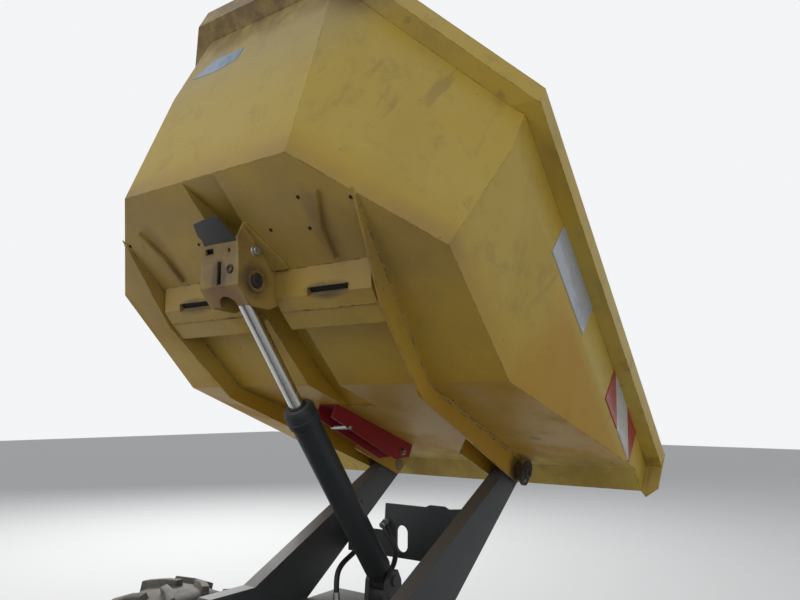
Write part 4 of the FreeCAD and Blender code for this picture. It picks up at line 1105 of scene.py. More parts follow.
    def fins(self) -> None:
        """The thin bent strips on the floor beside the webs."""
        for side in (1, -1):
            line = [(-1.534, 0.405), (-1.429, 0.360), (-1.321, 0.348)]
            thick = 0.004
            around = [(x, side * y, self.floor + 0.001) for x,
                      y in line] + [(x, side * (y + thick), self.floor + 0.001) for x, y in reversed(line)]
            item = plate(f"floor_fin_{'left' if side > 0 else 'right'}", around, (0.0, 0.0, -0.015))
            self.finish(softened(item, 0.0012, 2), Coat.SKIP)

    def bracket(self) -> None:
        """Bolts, pin ends, the ring and the flap on the ram bracket, and near-black blocks as painted shade
        in two slots.
        """
        bolts = [facing((-1.401, side * self.cheek, -0.378), (0.0, side, 0.0), 12.0) for side in (1, -1)]
        self.finish(copies("bracket_bolts", hex_bolt(0.016), bolts), Coat.ZINC)
        cap = turned("bracket_pin_end", [
            (-0.004, 0.0), (-0.004, 0.0195), (0.0085, 0.0195), (0.0105, 0.0175), (0.0105, 0.006),
            (0.0085, 0.0045), (0.0085, 0.0),
        ], 28)
        nipple = lathe("nipple", (0.0, 0.0, 0.0085), "z",
                       [(0.0, 0.0), (0.0, 0.0035), (0.006, 0.0035), (0.006, 0.002), (0.010, 0.0028),
                        (0.012, 0.0)], 12)
        ends = [facing((self.eye_back, side * self.cheek, self.eye_drop),
                       (0.0, side, 0.0)) for side in (1, -1)]
        self.finish(copies("bracket_pin_ends", smooth(joined("pin_end", [cap, nipple])), ends), Coat.BARREL)
        ring = turned("cover_ring",
                      [(-0.003, 0.007), (-0.003, 0.014), (0.003, 0.014), (0.005, 0.0105), (0.003, 0.007),
                       (-0.003, 0.007)], 22)
        self.finish(moved(smooth(ring), facing((-1.400, -0.050, -0.4655), (-0.695, 0.0, -0.719))),
                    Coat.BARREL)
        flap = plate("bracket_flap", [
            (-1.436, -0.078, -0.4095), (-1.452, -0.084, -0.4100), (-1.546, -0.056, -0.4040),
            (-1.552, -0.020, -0.4035),
            (-1.540, 0.062, -0.4040), (-1.498, 0.070, -0.4070), (-1.486, 0.062, -0.4080),
            (-1.462, 0.066, -0.4095), (-1.436, 0.066, -0.4095),
        ], (0.0, 0.0, -0.004))
        self.finish(softened(flap, 0.0012, 2), Coat.PLASTIC)
        # Painted shade: near-black blocks fill the two slots under the floor.
        dark = []
        for side in (1, -1):
            low, high = sorted((side * 0.2256, side * 0.3844))
            dark.append(block("slot_shade_fill", (-1.2556, low, -0.390), (-1.2344, high, -0.3592)))
        self.finish(softened(joined("slot_shade_fills", dark), 0.0008, 1), Coat.HOLLOW)

    def floor_plugs(self) -> None:
        """Small plugs and drain holes in the floor, in near-black that is painted shade in the holes."""
        plug = turned("plug",
                      [(-0.003, 0.0), (-0.003, 0.006), (0.0012, 0.006), (0.002, 0.0045), (0.0008, 0.003),
                       (0.0008, 0.0)], 16)
        spots = [(-1.446, -0.166), (-1.493, -0.501), (-1.527, -0.329), (-1.427, -0.312), (-1.446, 0.166),
                 (-1.493, 0.501)]
        places = [facing((x, y, self.floor), (0.0, 0.0, -1.0)) for x, y in spots]
        self.finish(copies("floor_plugs", smooth(plug), places), Coat.HOLLOW)

    def pin_collars(self) -> None:
        """Dark oblong bosses with a washer and keeper bolt at the tip pins."""
        bow = [math.radians(a) for a in range(0, 181, 20)]
        around = [(math.cos(a) * 0.030, 0.030 + math.sin(a) * 0.030, -0.002) for a in bow]
        around += [(-math.cos(a) * 0.030, -0.024 - math.sin(a) * 0.030, -0.002) for a in bow]
        boss = plate("boss", around, (0.0, 0.0, 0.016))
        pressed(boss, "z", 0.005, -0.002)
        washer = turned("washer", [
            (0.010, 0.012), (0.010, 0.025), (0.019, 0.025), (0.021, 0.022), (0.021, 0.014), (0.013, 0.012),
            (0.013, 0.0)], 32)
        piece = joined("collar", [softened(boss, 0.0012, 2), smooth(washer, 40.0)])
        sides = [facing((0.0, side * 0.3795, 0.0), (0.0, side, 0.0), 180.0) for side in (1, -1)]
        self.finish(copies("pin_collars", piece, sides), Coat.IRON)
        bolts = [place @ Matrix.Translation((0.0, 0.042, 0.011)) for place in sides]
        self.finish(copies("pin_keeper_bolts", hex_bolt(0.008), bolts), Coat.STEEL)

    def prop_fixings(self) -> None:
        """The pivot bolt and spring clip of the safety prop."""
        bolt_places = []
        for side in (1.0, -1.0):
            y = 0.145 + side * 0.0452
            bolt_places.append(facing((-0.190, y, self.slope(-0.190) - 0.055), (0.0, side, 0.0)))
        self.finish(copies("prop_bolts", hex_bolt(0.014), bolt_places), Coat.STEEL)
        clip = lathe("prop_clip", (-0.52, 0.145, self.slope(-0.52) - 0.066), "y", [
            (-0.050, 0.0), (-0.050, 0.006), (-0.047, 0.008), (0.047, 0.008), (0.050, 0.006), (0.050, 0.0)],
            18)
        self.finish(smooth(clip), Coat.ZINC)

    def build(self) -> None:
        """Make all of the skip's trim."""
        for side in (1, -1):
            self.stripe(side)
            self.blank(side)
        self.faded_strip()
        self.welds()
        self.fins()
        self.bracket()
        self.floor_plugs()
        self.pin_collars()
        self.prop_fixings()


@dataclass
class RamTrim(SubAssembly):
    """Gland, wiper, ports and pipe of the tip ram, drawn along its own line."""

    base: Point = (1.388, 0.0, 0.885)
    line: Point = (-0.60761, 0.0, 0.79424)
    barrel: float = 0.050
    barrel_top: float = 0.812
    port_turn: float = 155.0
    port_places: Pair = (0.30, 0.12)
    port_sunk: float = 0.004

    def along(self, distance: float, turn: float = 0.0) -> Matrix:
        """A place on the ram's line, with +Z along it."""
        spot = Vector(self.base) + Vector(self.line) * distance
        return facing(spot, self.line, turn)

    def build(self) -> None:
        """Make the gland, ports and steel pipe."""
        top = self.barrel_top
        gland = turned("gland", [
            (-0.064, 0.0505), (-0.064, 0.0552), (-0.060, 0.0570), (-0.040, 0.0570), (-0.038, 0.0552),
            (-0.010, 0.0552),
            (-0.004, 0.0520), (0.0035, 0.0470), (0.0045, 0.0320), (0.0045, 0.0262), (-0.002, 0.0258),
            (-0.002, 0.0505),
        ], 48)
        self.add(moved(smooth(gland, 30.0), self.along(top)), Coat.BARREL, "ram_barrel")
        wiper = turned("wiper", [
            (0.0045, 0.0258), (0.0045, 0.0315), (0.0085, 0.0310), (0.0100, 0.0262), (0.0045, 0.0258)], 40)
        self.add(moved(smooth(wiper), self.along(top)), Coat.HOSE, "ram_barrel")
        spots = []
        sunk = Matrix.Translation((self.barrel - self.port_sunk, 0.0, 0.0))
        out = Matrix.Rotation(math.radians(self.port_turn), 4,
                              "Z") @ sunk @ Matrix.Rotation(math.radians(90.0), 4, "Y")
        for distance in self.port_places:
            spots.append(self.along(distance) @ out)
        port = turned("port", [
            (0.0, 0.0), (0.0, 0.017), (0.014, 0.016), (0.014, 0.012), (0.026, 0.012), (0.026, 0.015),
            (0.040, 0.015), (0.042, 0.012), (0.042, 0.0)], 6)
        self.add(copies("ram_ports", softened(port, 0.0012, 1), spots), Coat.ZINC, "ram_barrel")
        ends = [spot @ Vector((0.0, 0.0, 0.036)) for spot in spots]
        drop = Vector(self.line) * -0.03
        pipe = tube("ram_pipe", [ends[0], ends[0] + drop, ends[1] - drop, ends[1]], 0.0065)
        self.add(pipe, Coat.STEEL, "ram_barrel")


@dataclass
class HoseSet(SubAssembly):
    """Hydraulic hoses between the front frame's cross plate and its belly plate."""

    radius: float = 0.0105

    def run(self, name: str, points: Sequence[Point], body: str) -> None:
        """Lay one hose with its crimped ends.

        Args:
            name: The hose's name.
            points: Its route's control points.
            body: The body it rides on.
        """
        hose = curved(name, points, self.radius)
        hose.data.materials.append(self.palette.get(Coat.HOSE))
        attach(hose, body)
        Coat.HOSE.slot
        crimp = turned("crimp", [
            (-0.012, 0.0), (-0.012, 0.010), (0.002, 0.010), (0.002, 0.0145), (0.010, 0.0145), (0.010, 0.0132),
            (0.036, 0.0132), (0.038, 0.0118), (0.038, 0.0)], 12)
        first, last = Vector(points[0]), Vector(points[-1])
        places = [facing(first, Vector(points[1]) - first), facing(last, Vector(points[-2]) - last)]
        ends = copies(f"{name}_ends", smooth(crimp, 30.0), places)
        self.add(ends, Coat.ZINC, body)
        bare = curved("measure", points, 0.0)
        line = bpy.data.meshes.new_from_object(bare)
        bpy.data.objects.remove(bare)

    def build(self) -> None:
        """Lay both hoses."""
        self.run("lift_hose", [
            (1.500, 0.070, 1.076), (1.476, 0.068, 1.068), (1.470, 0.046, 1.036), (1.480, 0.012, 0.990),
            (1.484, 0.012, 0.930), (1.478, 0.050, 0.868), (1.462, 0.080, 0.842), (1.452, 0.086, 0.806),
        ], "front")
        self.run("return_hose", [
            (1.500, 0.150, 1.010), (1.470, 0.150, 1.000), (1.400, 0.150, 0.965), (1.300, 0.145, 0.930),
            (1.262, 0.130, 0.880), (1.262, 0.122, 0.806),
        ], "front")


@dataclass
class TyreSet(SubAssembly):
    """The four tyres, turned with their lugs from one model."""

    radius: float = 0.425
    half: float = 0.147
    tread: float = 0.399
    bead: float = 0.2065
    lugs: int = 16
    centres: tuple[tuple[str, float, float], ...] = (
        ("front_left", 1.0, 0.74), ("front_right", 1.0, -0.74), ("rear_left", -1.0, 0.74),
        ("rear_right", -1.0, -0.74))

    def carcass(self) -> bpy.types.Object:
        """The tyre's body with its sidewall ribs, spun about +Y."""
        half = self.half
        side = [(0.098, self.bead), (0.112, self.bead + 0.010), (0.122, self.bead + 0.018),
                (0.126, self.bead + 0.032),
                (0.139, self.bead + 0.060), (0.1415, self.bead + 0.066), (0.1385, self.bead + 0.070),
                (half - 0.002, 0.305),
                (half, 0.325), (half - 0.001, 0.345), (0.141, 0.366), (0.128, 0.382),
                (0.098, self.tread - 0.004)]
        profile = side + [(0.0, self.tread)] + [(-a, r) for a, r in reversed(side)] + [side[0]]
        return smooth(lathe("carcass", (0.0, 0.0, 0.0), "y", profile, 72), 50.0)

    def lug(self) -> bpy.types.Object:
        """One bar of the tread on the +Y side, at the top of the tyre."""
        half = self.half
        plan = [(0.003, -0.006), (0.003, 0.032), (half * 0.45, 0.056), (half * 0.97, 0.104),
                (half * 0.97, 0.062), (half * 0.45, 0.016)]
        low = self.tread - 0.034
        item = plate("lug", [(0.045 - w, y, low) for y, w in plan], (0.0, 0.0, self.radius - 0.0035 - low))
        with editing(item, "FACE", lambda centre, normal: normal.z > 0.9):
            bpy.ops.transform.resize(value=(0.90, 0.955, 1.0), center_override=(0.0, half * 0.5, self.radius))
        with editing(item, "VERT", lambda place, normal: place.z > self.tread and place.y > half * 0.7):
            bpy.ops.transform.translate(value=(0.0, -0.004, -0.007))
        return softened(item, 0.0035, 2, 25.0)

    def build(self) -> None:
        """Make one tyre and copy it to the four hubs."""
        lug = self.lug()
        step = math.tau / self.lugs
        lead = math.pi / 2 - 0.045 / 0.41
        turns = [Matrix.Rotation(step * (i + 0.25) + lead, 4, "Y") for i in range(self.lugs)]
        mirror = Matrix.Diagonal((1.0, -1.0, 1.0, 1.0))
        twins = [Matrix.Rotation(step * (i + 0.75) + lead, 4, "Y") @ mirror for i in range(self.lugs)]
        tyre = copies("tyre", lug, turns + twins)
        with editing(tyre):
            bpy.ops.mesh.normals_make_consistent(inside=False)
        tyre = joined("tyre", [self.carcass(), tyre])
        for label, x, y in self.centres:
            item = tyre.copy()
            item.data = tyre.data.copy()
            item.name = f"tread_{label}"
            bpy.context.scene.collection.objects.link(item)
            moved(item, Matrix.Translation((x, y, AXLE_HEIGHT)) @ (Matrix.Identity(4) if y > 0 else mirror))
            if y < 0:
                with editing(item):
                    bpy.ops.mesh.normals_make_consistent(inside=False)
            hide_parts(f"tyre_{label}")
            self.add(item, Coat.TYRE, f"wheel_{label}")
        bpy.data.objects.remove(tyre)


@dataclass
class WheelTrim(SubAssembly):
    """Wheel nuts, hub caps and valves."""

    circle: float = 0.127
    nuts: int = 10
    nut_turn: float = 17.0
    disc: float = 0.020
    hub_face: float = 0.0745
    valve_out: float = 0.155
    centres: tuple[tuple[str, float, float], ...] = TyreSet.centres

    def build(self) -> None:
        """Set the nuts and a cap on each wheel."""
        for label, x, y in self.centres:
            side = 1.0 if y > 0 else -1.0
            spots = []
            for i in range(self.nuts):
                turn = math.tau * i / self.nuts
                place = (x + math.cos(turn) * self.circle, y + side * self.disc,
                         AXLE_HEIGHT + math.sin(turn) * self.circle)
                spots.append(facing(place, (0.0, side, 0.0), self.nut_turn * i))
            self.add(copies(f"nuts_{label}", hex_bolt(0.018), spots), Coat.ZINC, f"wheel_{label}")
            cap = turned("cap", [
                (0.0, 0.0), (0.0, 0.052), (0.004, 0.052), (0.010, 0.046), (0.012, 0.030), (0.009, 0.026),
                (0.009, 0.012), (0.013, 0.008), (0.013, 0.0)], 40)
            cap = moved(smooth(cap), facing((x, y + side * self.hub_face, AXLE_HEIGHT), (0.0, side, 0.0)))
            cap.name = f"hub_cap_{label}"
            self.add(cap, Coat.IRON, f"wheel_{label}")
            valve = turned("valve", [
                (0.0, 0.0), (0.0, 0.006), (0.006, 0.005), (0.022, 0.004), (0.024, 0.0052), (0.036, 0.0052),
                (0.038, 0.0)], 12)
            valve = moved(smooth(valve),
                          facing((x + self.valve_out, y + side * 0.0195, AXLE_HEIGHT), (0.0, side, 0.0)))
            valve.name = f"valve_{label}"
            self.add(valve, Coat.HOSE, f"wheel_{label}")


@dataclass
class OperatorSeat(SubAssembly):
    """Two padded pieces on the seat base, with sewn channels, a shell, a rail, and belt stalks with buckles.
    """

    voxel: float = 0.0055
    cap: float = 0.016
    pressure: float = 4.0
    frames: int = 20

    def swollen(self, item: bpy.types.Object) -> bpy.types.Object:
        """Fill a pad by cloth simulation, with each point's travel capped.

        Args:
            item: The unfilled pad.

        Returns:
            The filled pad.
        """
        alone(item)
        mesh = item.modifiers.new("grid", "REMESH")
        mesh.mode = "VOXEL"
        mesh.voxel_size = self.voxel
        bpy.ops.object.modifier_apply(modifier=mesh.name)
        rest = [point.co.copy() for point in item.data.vertices]
        cloth = item.modifiers.new("fill", "CLOTH")
        cloth.settings.use_pressure = True
        cloth.settings.uniform_pressure_force = self.pressure
        cloth.settings.effector_weights.gravity = 0.0
        cloth.settings.tension_stiffness = 12.0
        cloth.settings.bending_stiffness = 0.6
        cloth.point_cache.frame_start = 1
        cloth.point_cache.frame_end = self.frames
        for number in range(1, self.frames + 1):
            bpy.context.scene.frame_set(number)
        bpy.ops.object.modifier_apply(modifier=cloth.name)
        bpy.context.scene.frame_set(1)
        for point, before in zip(item.data.vertices, rest):
            travel = point.co - before
            if travel.length > self.cap:
                point.co = before + travel.normalized() * self.cap
        return item

    def pad(self, name: str, node: str, outline: Sequence[Pair], half: float,
            seams: Sequence[Point]) -> bpy.types.Object:
        """One cushion from a side outline, filled, relaxed and creased at its seams.

        Args:
            name: The piece's name.
            node: The CAD node it replaces.
            outline: Side profile as (x, z).
            half: Half its width.
            seams: Sewn lines as (place, width, depth) across the surface, measured along Y.

        Returns:
            The piece.
        """
        item = plate(name, [(x, -half, z) for x, z in outline], (0.0, half * 2, 0.0))
        softened(item, 0.014, 3, 20.0)
        low = Vector(min((p.co for p in item.data.vertices), key=lambda c: c.z))
        base = low.z
        self.swollen(item)
        for point in item.data.vertices:
            for place, width, depth in seams:
                away = abs(abs(point.co.y) - place) / width
                if away < 1.0:
                    point.co -= point.normal * depth * (1.0 - away * away)
        relax = item.modifiers.new("relax", "SMOOTH")
        relax.factor = 0.5
        relax.iterations = 2
        bpy.ops.object.modifier_apply(modifier=relax.name)
        box_low, box_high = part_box(node)
        for point in item.data.vertices:
            point.co.z = max(point.co.z, base)
            point.co.y = min(max(point.co.y, box_low.y - 0.004), box_high.y + 0.004)
        fine = item.modifiers.new("fine", "SUBSURF")
        fine.levels = 1
        fine.render_levels = 1
        alone(item)
        bpy.ops.object.modifier_apply(modifier=fine.name)
        bpy.ops.object.shade_smooth()
        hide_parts(node)
        self.add(item, Coat.SEAT)
        return item

    def build(self) -> None:
        """Make the cushion, the back, the shell, the rail and the belt stalks with their buckles."""
        low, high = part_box("seat_cushion")
        back_low, back_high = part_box("seat_back")
        x0, x1, z0, z1 = low.x + 0.012, high.x - 0.012, low.z + 0.001, high.z - 0.010
        self.pad("cushion_pad", "seat_cushion", [
            (x0, z0), (x1 - 0.010, z0), (x1, z0 + 0.030), (x1 - 0.016, z1 - 0.016), (x1 - 0.070, z1),
            (x0, z1)],
            high.y - 0.010, [(0.135, 0.014, 0.010), (0.0, 0.0100, 0.004)])
        xb, zb = back_low.x, back_low.z
        self.pad("back_pad", "seat_back", [
            (xb + 0.022, zb + 0.012), (xb + 0.072, zb + 0.012), (xb + 0.062, zb + 0.200),
            (xb + 0.038, back_high.z - 0.022),
            (xb + 0.020, back_high.z - 0.012), (xb + 0.010, back_high.z - 0.030)],
            back_high.y - 0.010, [(0.120, 0.014, 0.008)])
        shell = block("seat_shell", (back_low.x - 0.006, -0.200, back_low.z + 0.03),
                      (back_low.x + 0.006, 0.200, back_high.z - 0.09))
        pressed(shell, "-x", 0.030, -0.003)
        self.add(softened(shell, 0.003, 2), Coat.PLASTIC)
        rail = block("seat_rail", (low.x + 0.02, -0.205, low.z - 0.020),
                     (high.x - 0.03, 0.205, low.z - 0.0004))
        pressed(rail, "y", 0.005, -0.003, both=True)
        self.add(softened(rail, 0.002, 2), Coat.IRON)
        for side, label in ((1, "left"), (-1, "right")):
            stalk = plate(f"belt_stalk_{label}", [
                (low.x + 0.05, side * 0.207, low.z - 0.015), (low.x + 0.085, side * 0.207, low.z - 0.015),
                (low.x + 0.100, side * 0.207, high.z + 0.035), (low.x + 0.072, side * 0.207, high.z + 0.035)],
                (0.0, side * 0.004, 0.0))
            buckle = block("buckle", (low.x + 0.064, side * 0.209 - 0.011, high.z + 0.030),
                           (low.x + 0.110, side * 0.209 + 0.011, high.z + 0.085))
            pressed(buckle, "z", 0.004, -0.004)
            self.add(softened(stalk, 0.001, 1), Coat.STEEL)
            self.add(softened(buckle, 0.004, 3), Coat.PLASTIC).name = f"buckle_{label}"


@dataclass
class HandWheel(SubAssembly):
    """The steering wheel with its padded rim, spokes and cap, drawn about +Z at zero."""

    centre: Point = (-0.45015, 0.0, 1.30276)
    lean: float = -30.0
    lift: float = 0.2103
    ring: float = 0.185
    grip: float = 0.0128

    def build(self) -> None:
        """Make the wheel and replace the CAD's."""
        steps = 14
        profile = [(math.sin(math.tau * i / steps) * self.grip,
                    self.ring + math.cos(math.tau * i / steps) * self.grip) for i in range(steps + 1)]
        ring = smooth(turned("ring", profile, 72), 60.0)
        spokes = []
        for turn in (0.0, 120.0, 240.0):
            spoke = plate("spoke",
                          [(0.02, -0.014, -0.004), (self.ring - 0.008, -0.009, -0.004),
                           (self.ring - 0.008, 0.009, -0.004), (0.02, 0.014, -0.004)], (0.0, 0.0, 0.006))
            pressed(spoke, "z", 0.003, -0.0008, both=True)
            moved(softened(spoke, 0.0008, 1), Matrix.Rotation(math.radians(turn), 4, "Z"))
            spokes.append(spoke)
        hub = turned("hub", [
            (-0.020, 0.0), (-0.020, 0.024), (-0.012, 0.036), (0.006, 0.038), (0.014, 0.034), (0.018, 0.026),
            (0.0185, 0.0)], 40)
        tilt = Matrix.Rotation(math.radians(self.lean), 4, "Y")
        place = Matrix.Translation(self.centre) @ tilt @ Matrix.Translation((0.0, 0.0, self.lift))
        wheel = moved(joined("hand_wheel_rim", [ring, smooth(hub)] + spokes), place)
        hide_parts("steering_wheel")
        self.add(wheel, Coat.PLASTIC, "hand_wheel")
        knob = turned("spinner", [
            (0.0, 0.0), (0.0, 0.010), (0.012, 0.008), (0.016, 0.017), (0.030, 0.021), (0.044, 0.017),
            (0.050, 0.008), (0.051, 0.0)], 28)
        turn = math.radians(205.0)
        knob = moved(smooth(knob),
                     place @ Matrix.Translation((math.cos(turn) * self.ring, math.sin(turn) * self.ring,
                                                 self.grip * 0.7)))
        self.add(knob, Coat.PLASTIC, "hand_wheel")


@dataclass
class ConsoleTrim(SubAssembly):
    """The panel's dial, switches, key and lever boots."""

    low_edge: Point = (-0.500, 0.0, 1.2736)
    high_edge: Point = (-0.385, 0.0, 1.340)

    def on_panel(self, up: float, across: float) -> Matrix:
        """A place on the sloped panel, with +Z out of it and +Y up it."""
        rise = (Vector(self.high_edge) - Vector(self.low_edge)).normalized()
        out = Vector((-rise.z, 0.0, rise.x))
        side = rise.cross(out)
        spot = Vector(self.low_edge) + rise * up + Vector((0.0, across, 0.0))
        return Matrix.Translation(spot) @ Matrix((side, rise, out)).transposed().to_4x4()

    def build(self) -> None:
        """Make the panel's pieces."""
        bezel = turned("dial_bezel", [
            (-0.002, 0.036), (0.005, 0.036), (0.008, 0.033), (0.007, 0.030), (0.003, 0.029), (-0.002, 0.029),
            (-0.002, 0.036)], 48)
        self.add(moved(smooth(bezel), self.on_panel(0.070, 0.095)), Coat.ZINC)
        face = turned("dial_face",
                      [(-0.002, 0.0), (-0.002, 0.0295), (0.0025, 0.0295), (0.0035, 0.028), (0.0035, 0.0)], 40)
        self.add(moved(smooth(face), self.on_panel(0.070, 0.095)), Coat.DIAL)
        ticks = []
        for number in range(9):
            turn = math.radians(-120.0 + 30.0 * number)
            tick = block("tick", (-0.0009, 0.019, 0.0034), (0.0009, 0.026, 0.0040))
            ticks.append(moved(tick, Matrix.Rotation(turn, 4, "Z")))
        needle = plate("needle",
                       [(-0.0018, -0.006, 0.0036), (0.0018, -0.006, 0.0036), (0.0004, 0.022, 0.0036),
                        (-0.0004, 0.022, 0.0036)], (0.0, 0.0, 0.0012))
        ticks.append(moved(needle, Matrix.Rotation(math.radians(-64.0), 4, "Z")))
        self.add(moved(joined("dial_marks", ticks), self.on_panel(0.070, 0.095)), Coat.HOSE)
        switches = []
        for across in (-0.060, -0.020, 0.020):
            body = block("switch", (-0.011, -0.019, -0.002), (0.011, 0.019, 0.006))
            with editing(body, "FACE", lambda centre, normal: normal.z > 0.9):
                bpy.ops.mesh.inset(thickness=0.003, depth=0.002)
                bpy.ops.transform.rotate(value=0.16, orient_axis="X", center_override=(0.0, 0.0, 0.008))
            switches.append(moved(softened(body, 0.0010, 2), self.on_panel(0.060, across)))
        self.add(joined("panel_switches", switches), Coat.HOSE)
        key = turned("key_barrel",
                     [(-0.002, 0.0), (-0.002, 0.012), (0.005, 0.012), (0.007, 0.010), (0.007, 0.0)], 24)
        blade = plate("key",
                      [(-0.010, -0.0012, 0.006), (-0.010, -0.0012, 0.022), (-0.004, -0.0012, 0.032),
                       (0.004, -0.0012, 0.032), (0.010, -0.0012, 0.022), (0.010, -0.0012, 0.006)],
                       (0.0, 0.0024, 0.0))
        self.add(moved(joined("ignition", [smooth(key), softened(blade, 0.0008, 1)]),
                       self.on_panel(0.065, 0.148)), Coat.ZINC)
        boots = []
        for y in (-0.160, -0.120):
            rows = []
            for fold in range(5):
                base = 1.318 + fold * 0.009
                reach = 0.0185 - fold * 0.0018
                rows += [(base, reach), (base + 0.0045, reach - 0.0045)]
            profile = [(1.318, 0.0)] + rows + [(1.365, 0.0)]
            boots.append(smooth(lathe("boot", (-0.420, y, 0.0), "z", profile, 28)))
        self.add(joined("lever_boots", boots), Coat.HOSE)
        screws = [self.on_panel(up, across) for up in (0.012, 0.120) for across in (-0.165, 0.165)]
        self.add(copies("panel_screws", hex_bolt(0.005), screws), Coat.ZINC)


@dataclass
class HoodTrim(SubAssembly):
    """Louvre frames, latches, a handle, an exhaust outlet, the grille's screen and its bolts."""

    half: float = 0.430
    top: float = 1.260

    def build(self) -> None:
        """Make the hood's pieces."""
        frames = []
        for side in (1, -1):
            for i in range(6):
                x = -1.790 + 0.060 + 0.046 * i
                low = (x - 0.004, min(side * self.half, side * (self.half + 0.006)), 0.906)
                high = (x + 0.003, max(side * self.half, side * (self.half + 0.006)), 1.094)
                lip = block("louvre_lip", low, high)
                with editing(lip, "VERT", lambda place, normal: abs(place.y) > self.half + 0.003):
                    bpy.ops.transform.translate(value=(0.010, 0.0, 0.0))
                frames.append(softened(lip, 0.0015, 2))
        self.add(joined("louvre_lips", frames), Coat.SKIP, "hood_lid")
        latches = []
        for side in (1, -1):
            base = block("latch_base", (-1.262, min(side * self.half, side * (self.half + 0.008)), 0.812),
                         (-1.236, max(side * self.half, side * (self.half + 0.008)), 0.900))
            grip = block("latch_grip",
                         (-1.258, min(side * (self.half + 0.006), side * (self.half + 0.020)), 0.830),
                         (-1.240, max(side * (self.half + 0.006), side * (self.half + 0.020)), 0.870))
            pressed(grip, "y", 0.004, 0.002, both=True)
            latches += [softened(base, 0.0015, 2), softened(grip, 0.002, 2)]
        self.add(joined("hood_latches", latches), Coat.HOSE, "hood_lid")
        handle = tube("hood_handle",
                      [(-1.300, -0.09, self.top), (-1.300, -0.09, self.top + 0.045),
                       (-1.300, 0.09, self.top + 0.045), (-1.300, 0.09, self.top)], 0.0085)
        self.add(handle, Coat.HOSE, "hood_lid")
        cap = lathe("exhaust_outlet", (-1.700, -0.24, self.top - 0.02), "z", [
            (0.0, 0.0), (0.0, 0.042), (0.024, 0.042), (0.026, 0.034), (0.120, 0.031), (0.122, 0.0285),
            (0.122, 0.027), (0.020, 0.027), (0.020, 0.0)], 36)
        self.add(smooth(cap), Coat.STEEL, "hood_lid")
        wires = []
        for i in range(17):
            y = -0.286 + 0.03575 * i
            wires.append(block("wire", (-1.9340, y - 0.0012, 0.866), (-1.9316, y + 0.0012, 1.088)))
        for i in range(7):
            z = 0.872 + 0.0350 * i
            wires.append(block("wire", (-1.9316, -0.292, z - 0.0012), (-1.9292, 0.292, z + 0.0012)))
        screen = softened(joined("grille_screen", wires), 0.0005, 1)
        self.add(screen, Coat.STEEL, "hood_lid")
        spots = [facing((-1.9535, y, z), (-1.0, 0.0, 0.0)) for y in (-0.285, 0.285) for z in (0.871, 1.081)]
        self.add(copies("grille_bolts", hex_bolt(0.008), spots), Coat.ZINC, "hood_lid")


@dataclass
class DeckTrim(SubAssembly):
    """Raised studs on the deck, grip rings on the steps, and pedals."""

    top: float = 0.6483

    def build(self) -> None:
        """Make the deck's pieces."""
        low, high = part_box("operator_deck")
        stud = block("stud", (-0.011, -0.0028, -0.0006), (0.011, 0.0028, 0.0012))
        with editing(stud, "FACE", lambda centre, normal: normal.z > 0.9):
            bpy.ops.transform.resize(value=(0.8, 0.45, 1.0))
        places = []
        rows = int((high.x - low.x - 0.03) / 0.028)
        for i in range(rows):
            for j in range(38):
                x = low.x + 0.018 + i * 0.028
                y = -0.525 + j * 0.0284
                if abs(y) < 0.186 and x < -0.335 and x > -0.505:
                    continue
                angle = 45.0 if (i + j) % 2 else -45.0
                places.append(Matrix.Translation((x, y,
                                                  self.top)) @ Matrix.Rotation(math.radians(angle), 4, "Z"))
        self.add(copies("deck_studs", stud, places), Coat.DECK)
        teeth = []
        ring = turned("grip_ring",
                      [(-0.001, 0.008), (-0.001, 0.0125), (0.0035, 0.0105), (0.0035, 0.009), (-0.001, 0.008)],
                      12)
        for side in (1, -1):
            for i in range(5):
                for j in range(3):
                    x = -0.522 + 0.039 * i
                    y = side * (0.590 + 0.035 * j)
                    teeth.append(Matrix.Translation((x, y, 0.3840)))
        self.add(copies("step_grips", smooth(ring), teeth), Coat.DECK)
        pedals = []
        for y in (0.235, -0.235):
            pad = block("pedal", (-0.455, y - 0.035, 0.716), (-0.360, y + 0.035, 0.728))
            with editing(pad, "FACE", lambda centre, normal: normal.z > 0.9):
                bpy.ops.mesh.inset(thickness=0.006, depth=0.003)
                bpy.ops.mesh.subdivide(number_cuts=3)
            hinge = Matrix.Translation((-0.36, 0.0, 0.72))
            moved(pad, hinge @ Matrix.Rotation(math.radians(24.0), 4, "Y") @ hinge.inverted())
            arm = block("pedal_arm", (-0.372, y - 0.008, 0.6482), (-0.356, y + 0.008, 0.722))
            pedals += [softened(pad, 0.0015, 2), softened(arm, 0.0015, 2)]
        self.add(joined("pedals", pedals), Coat.HOSE)


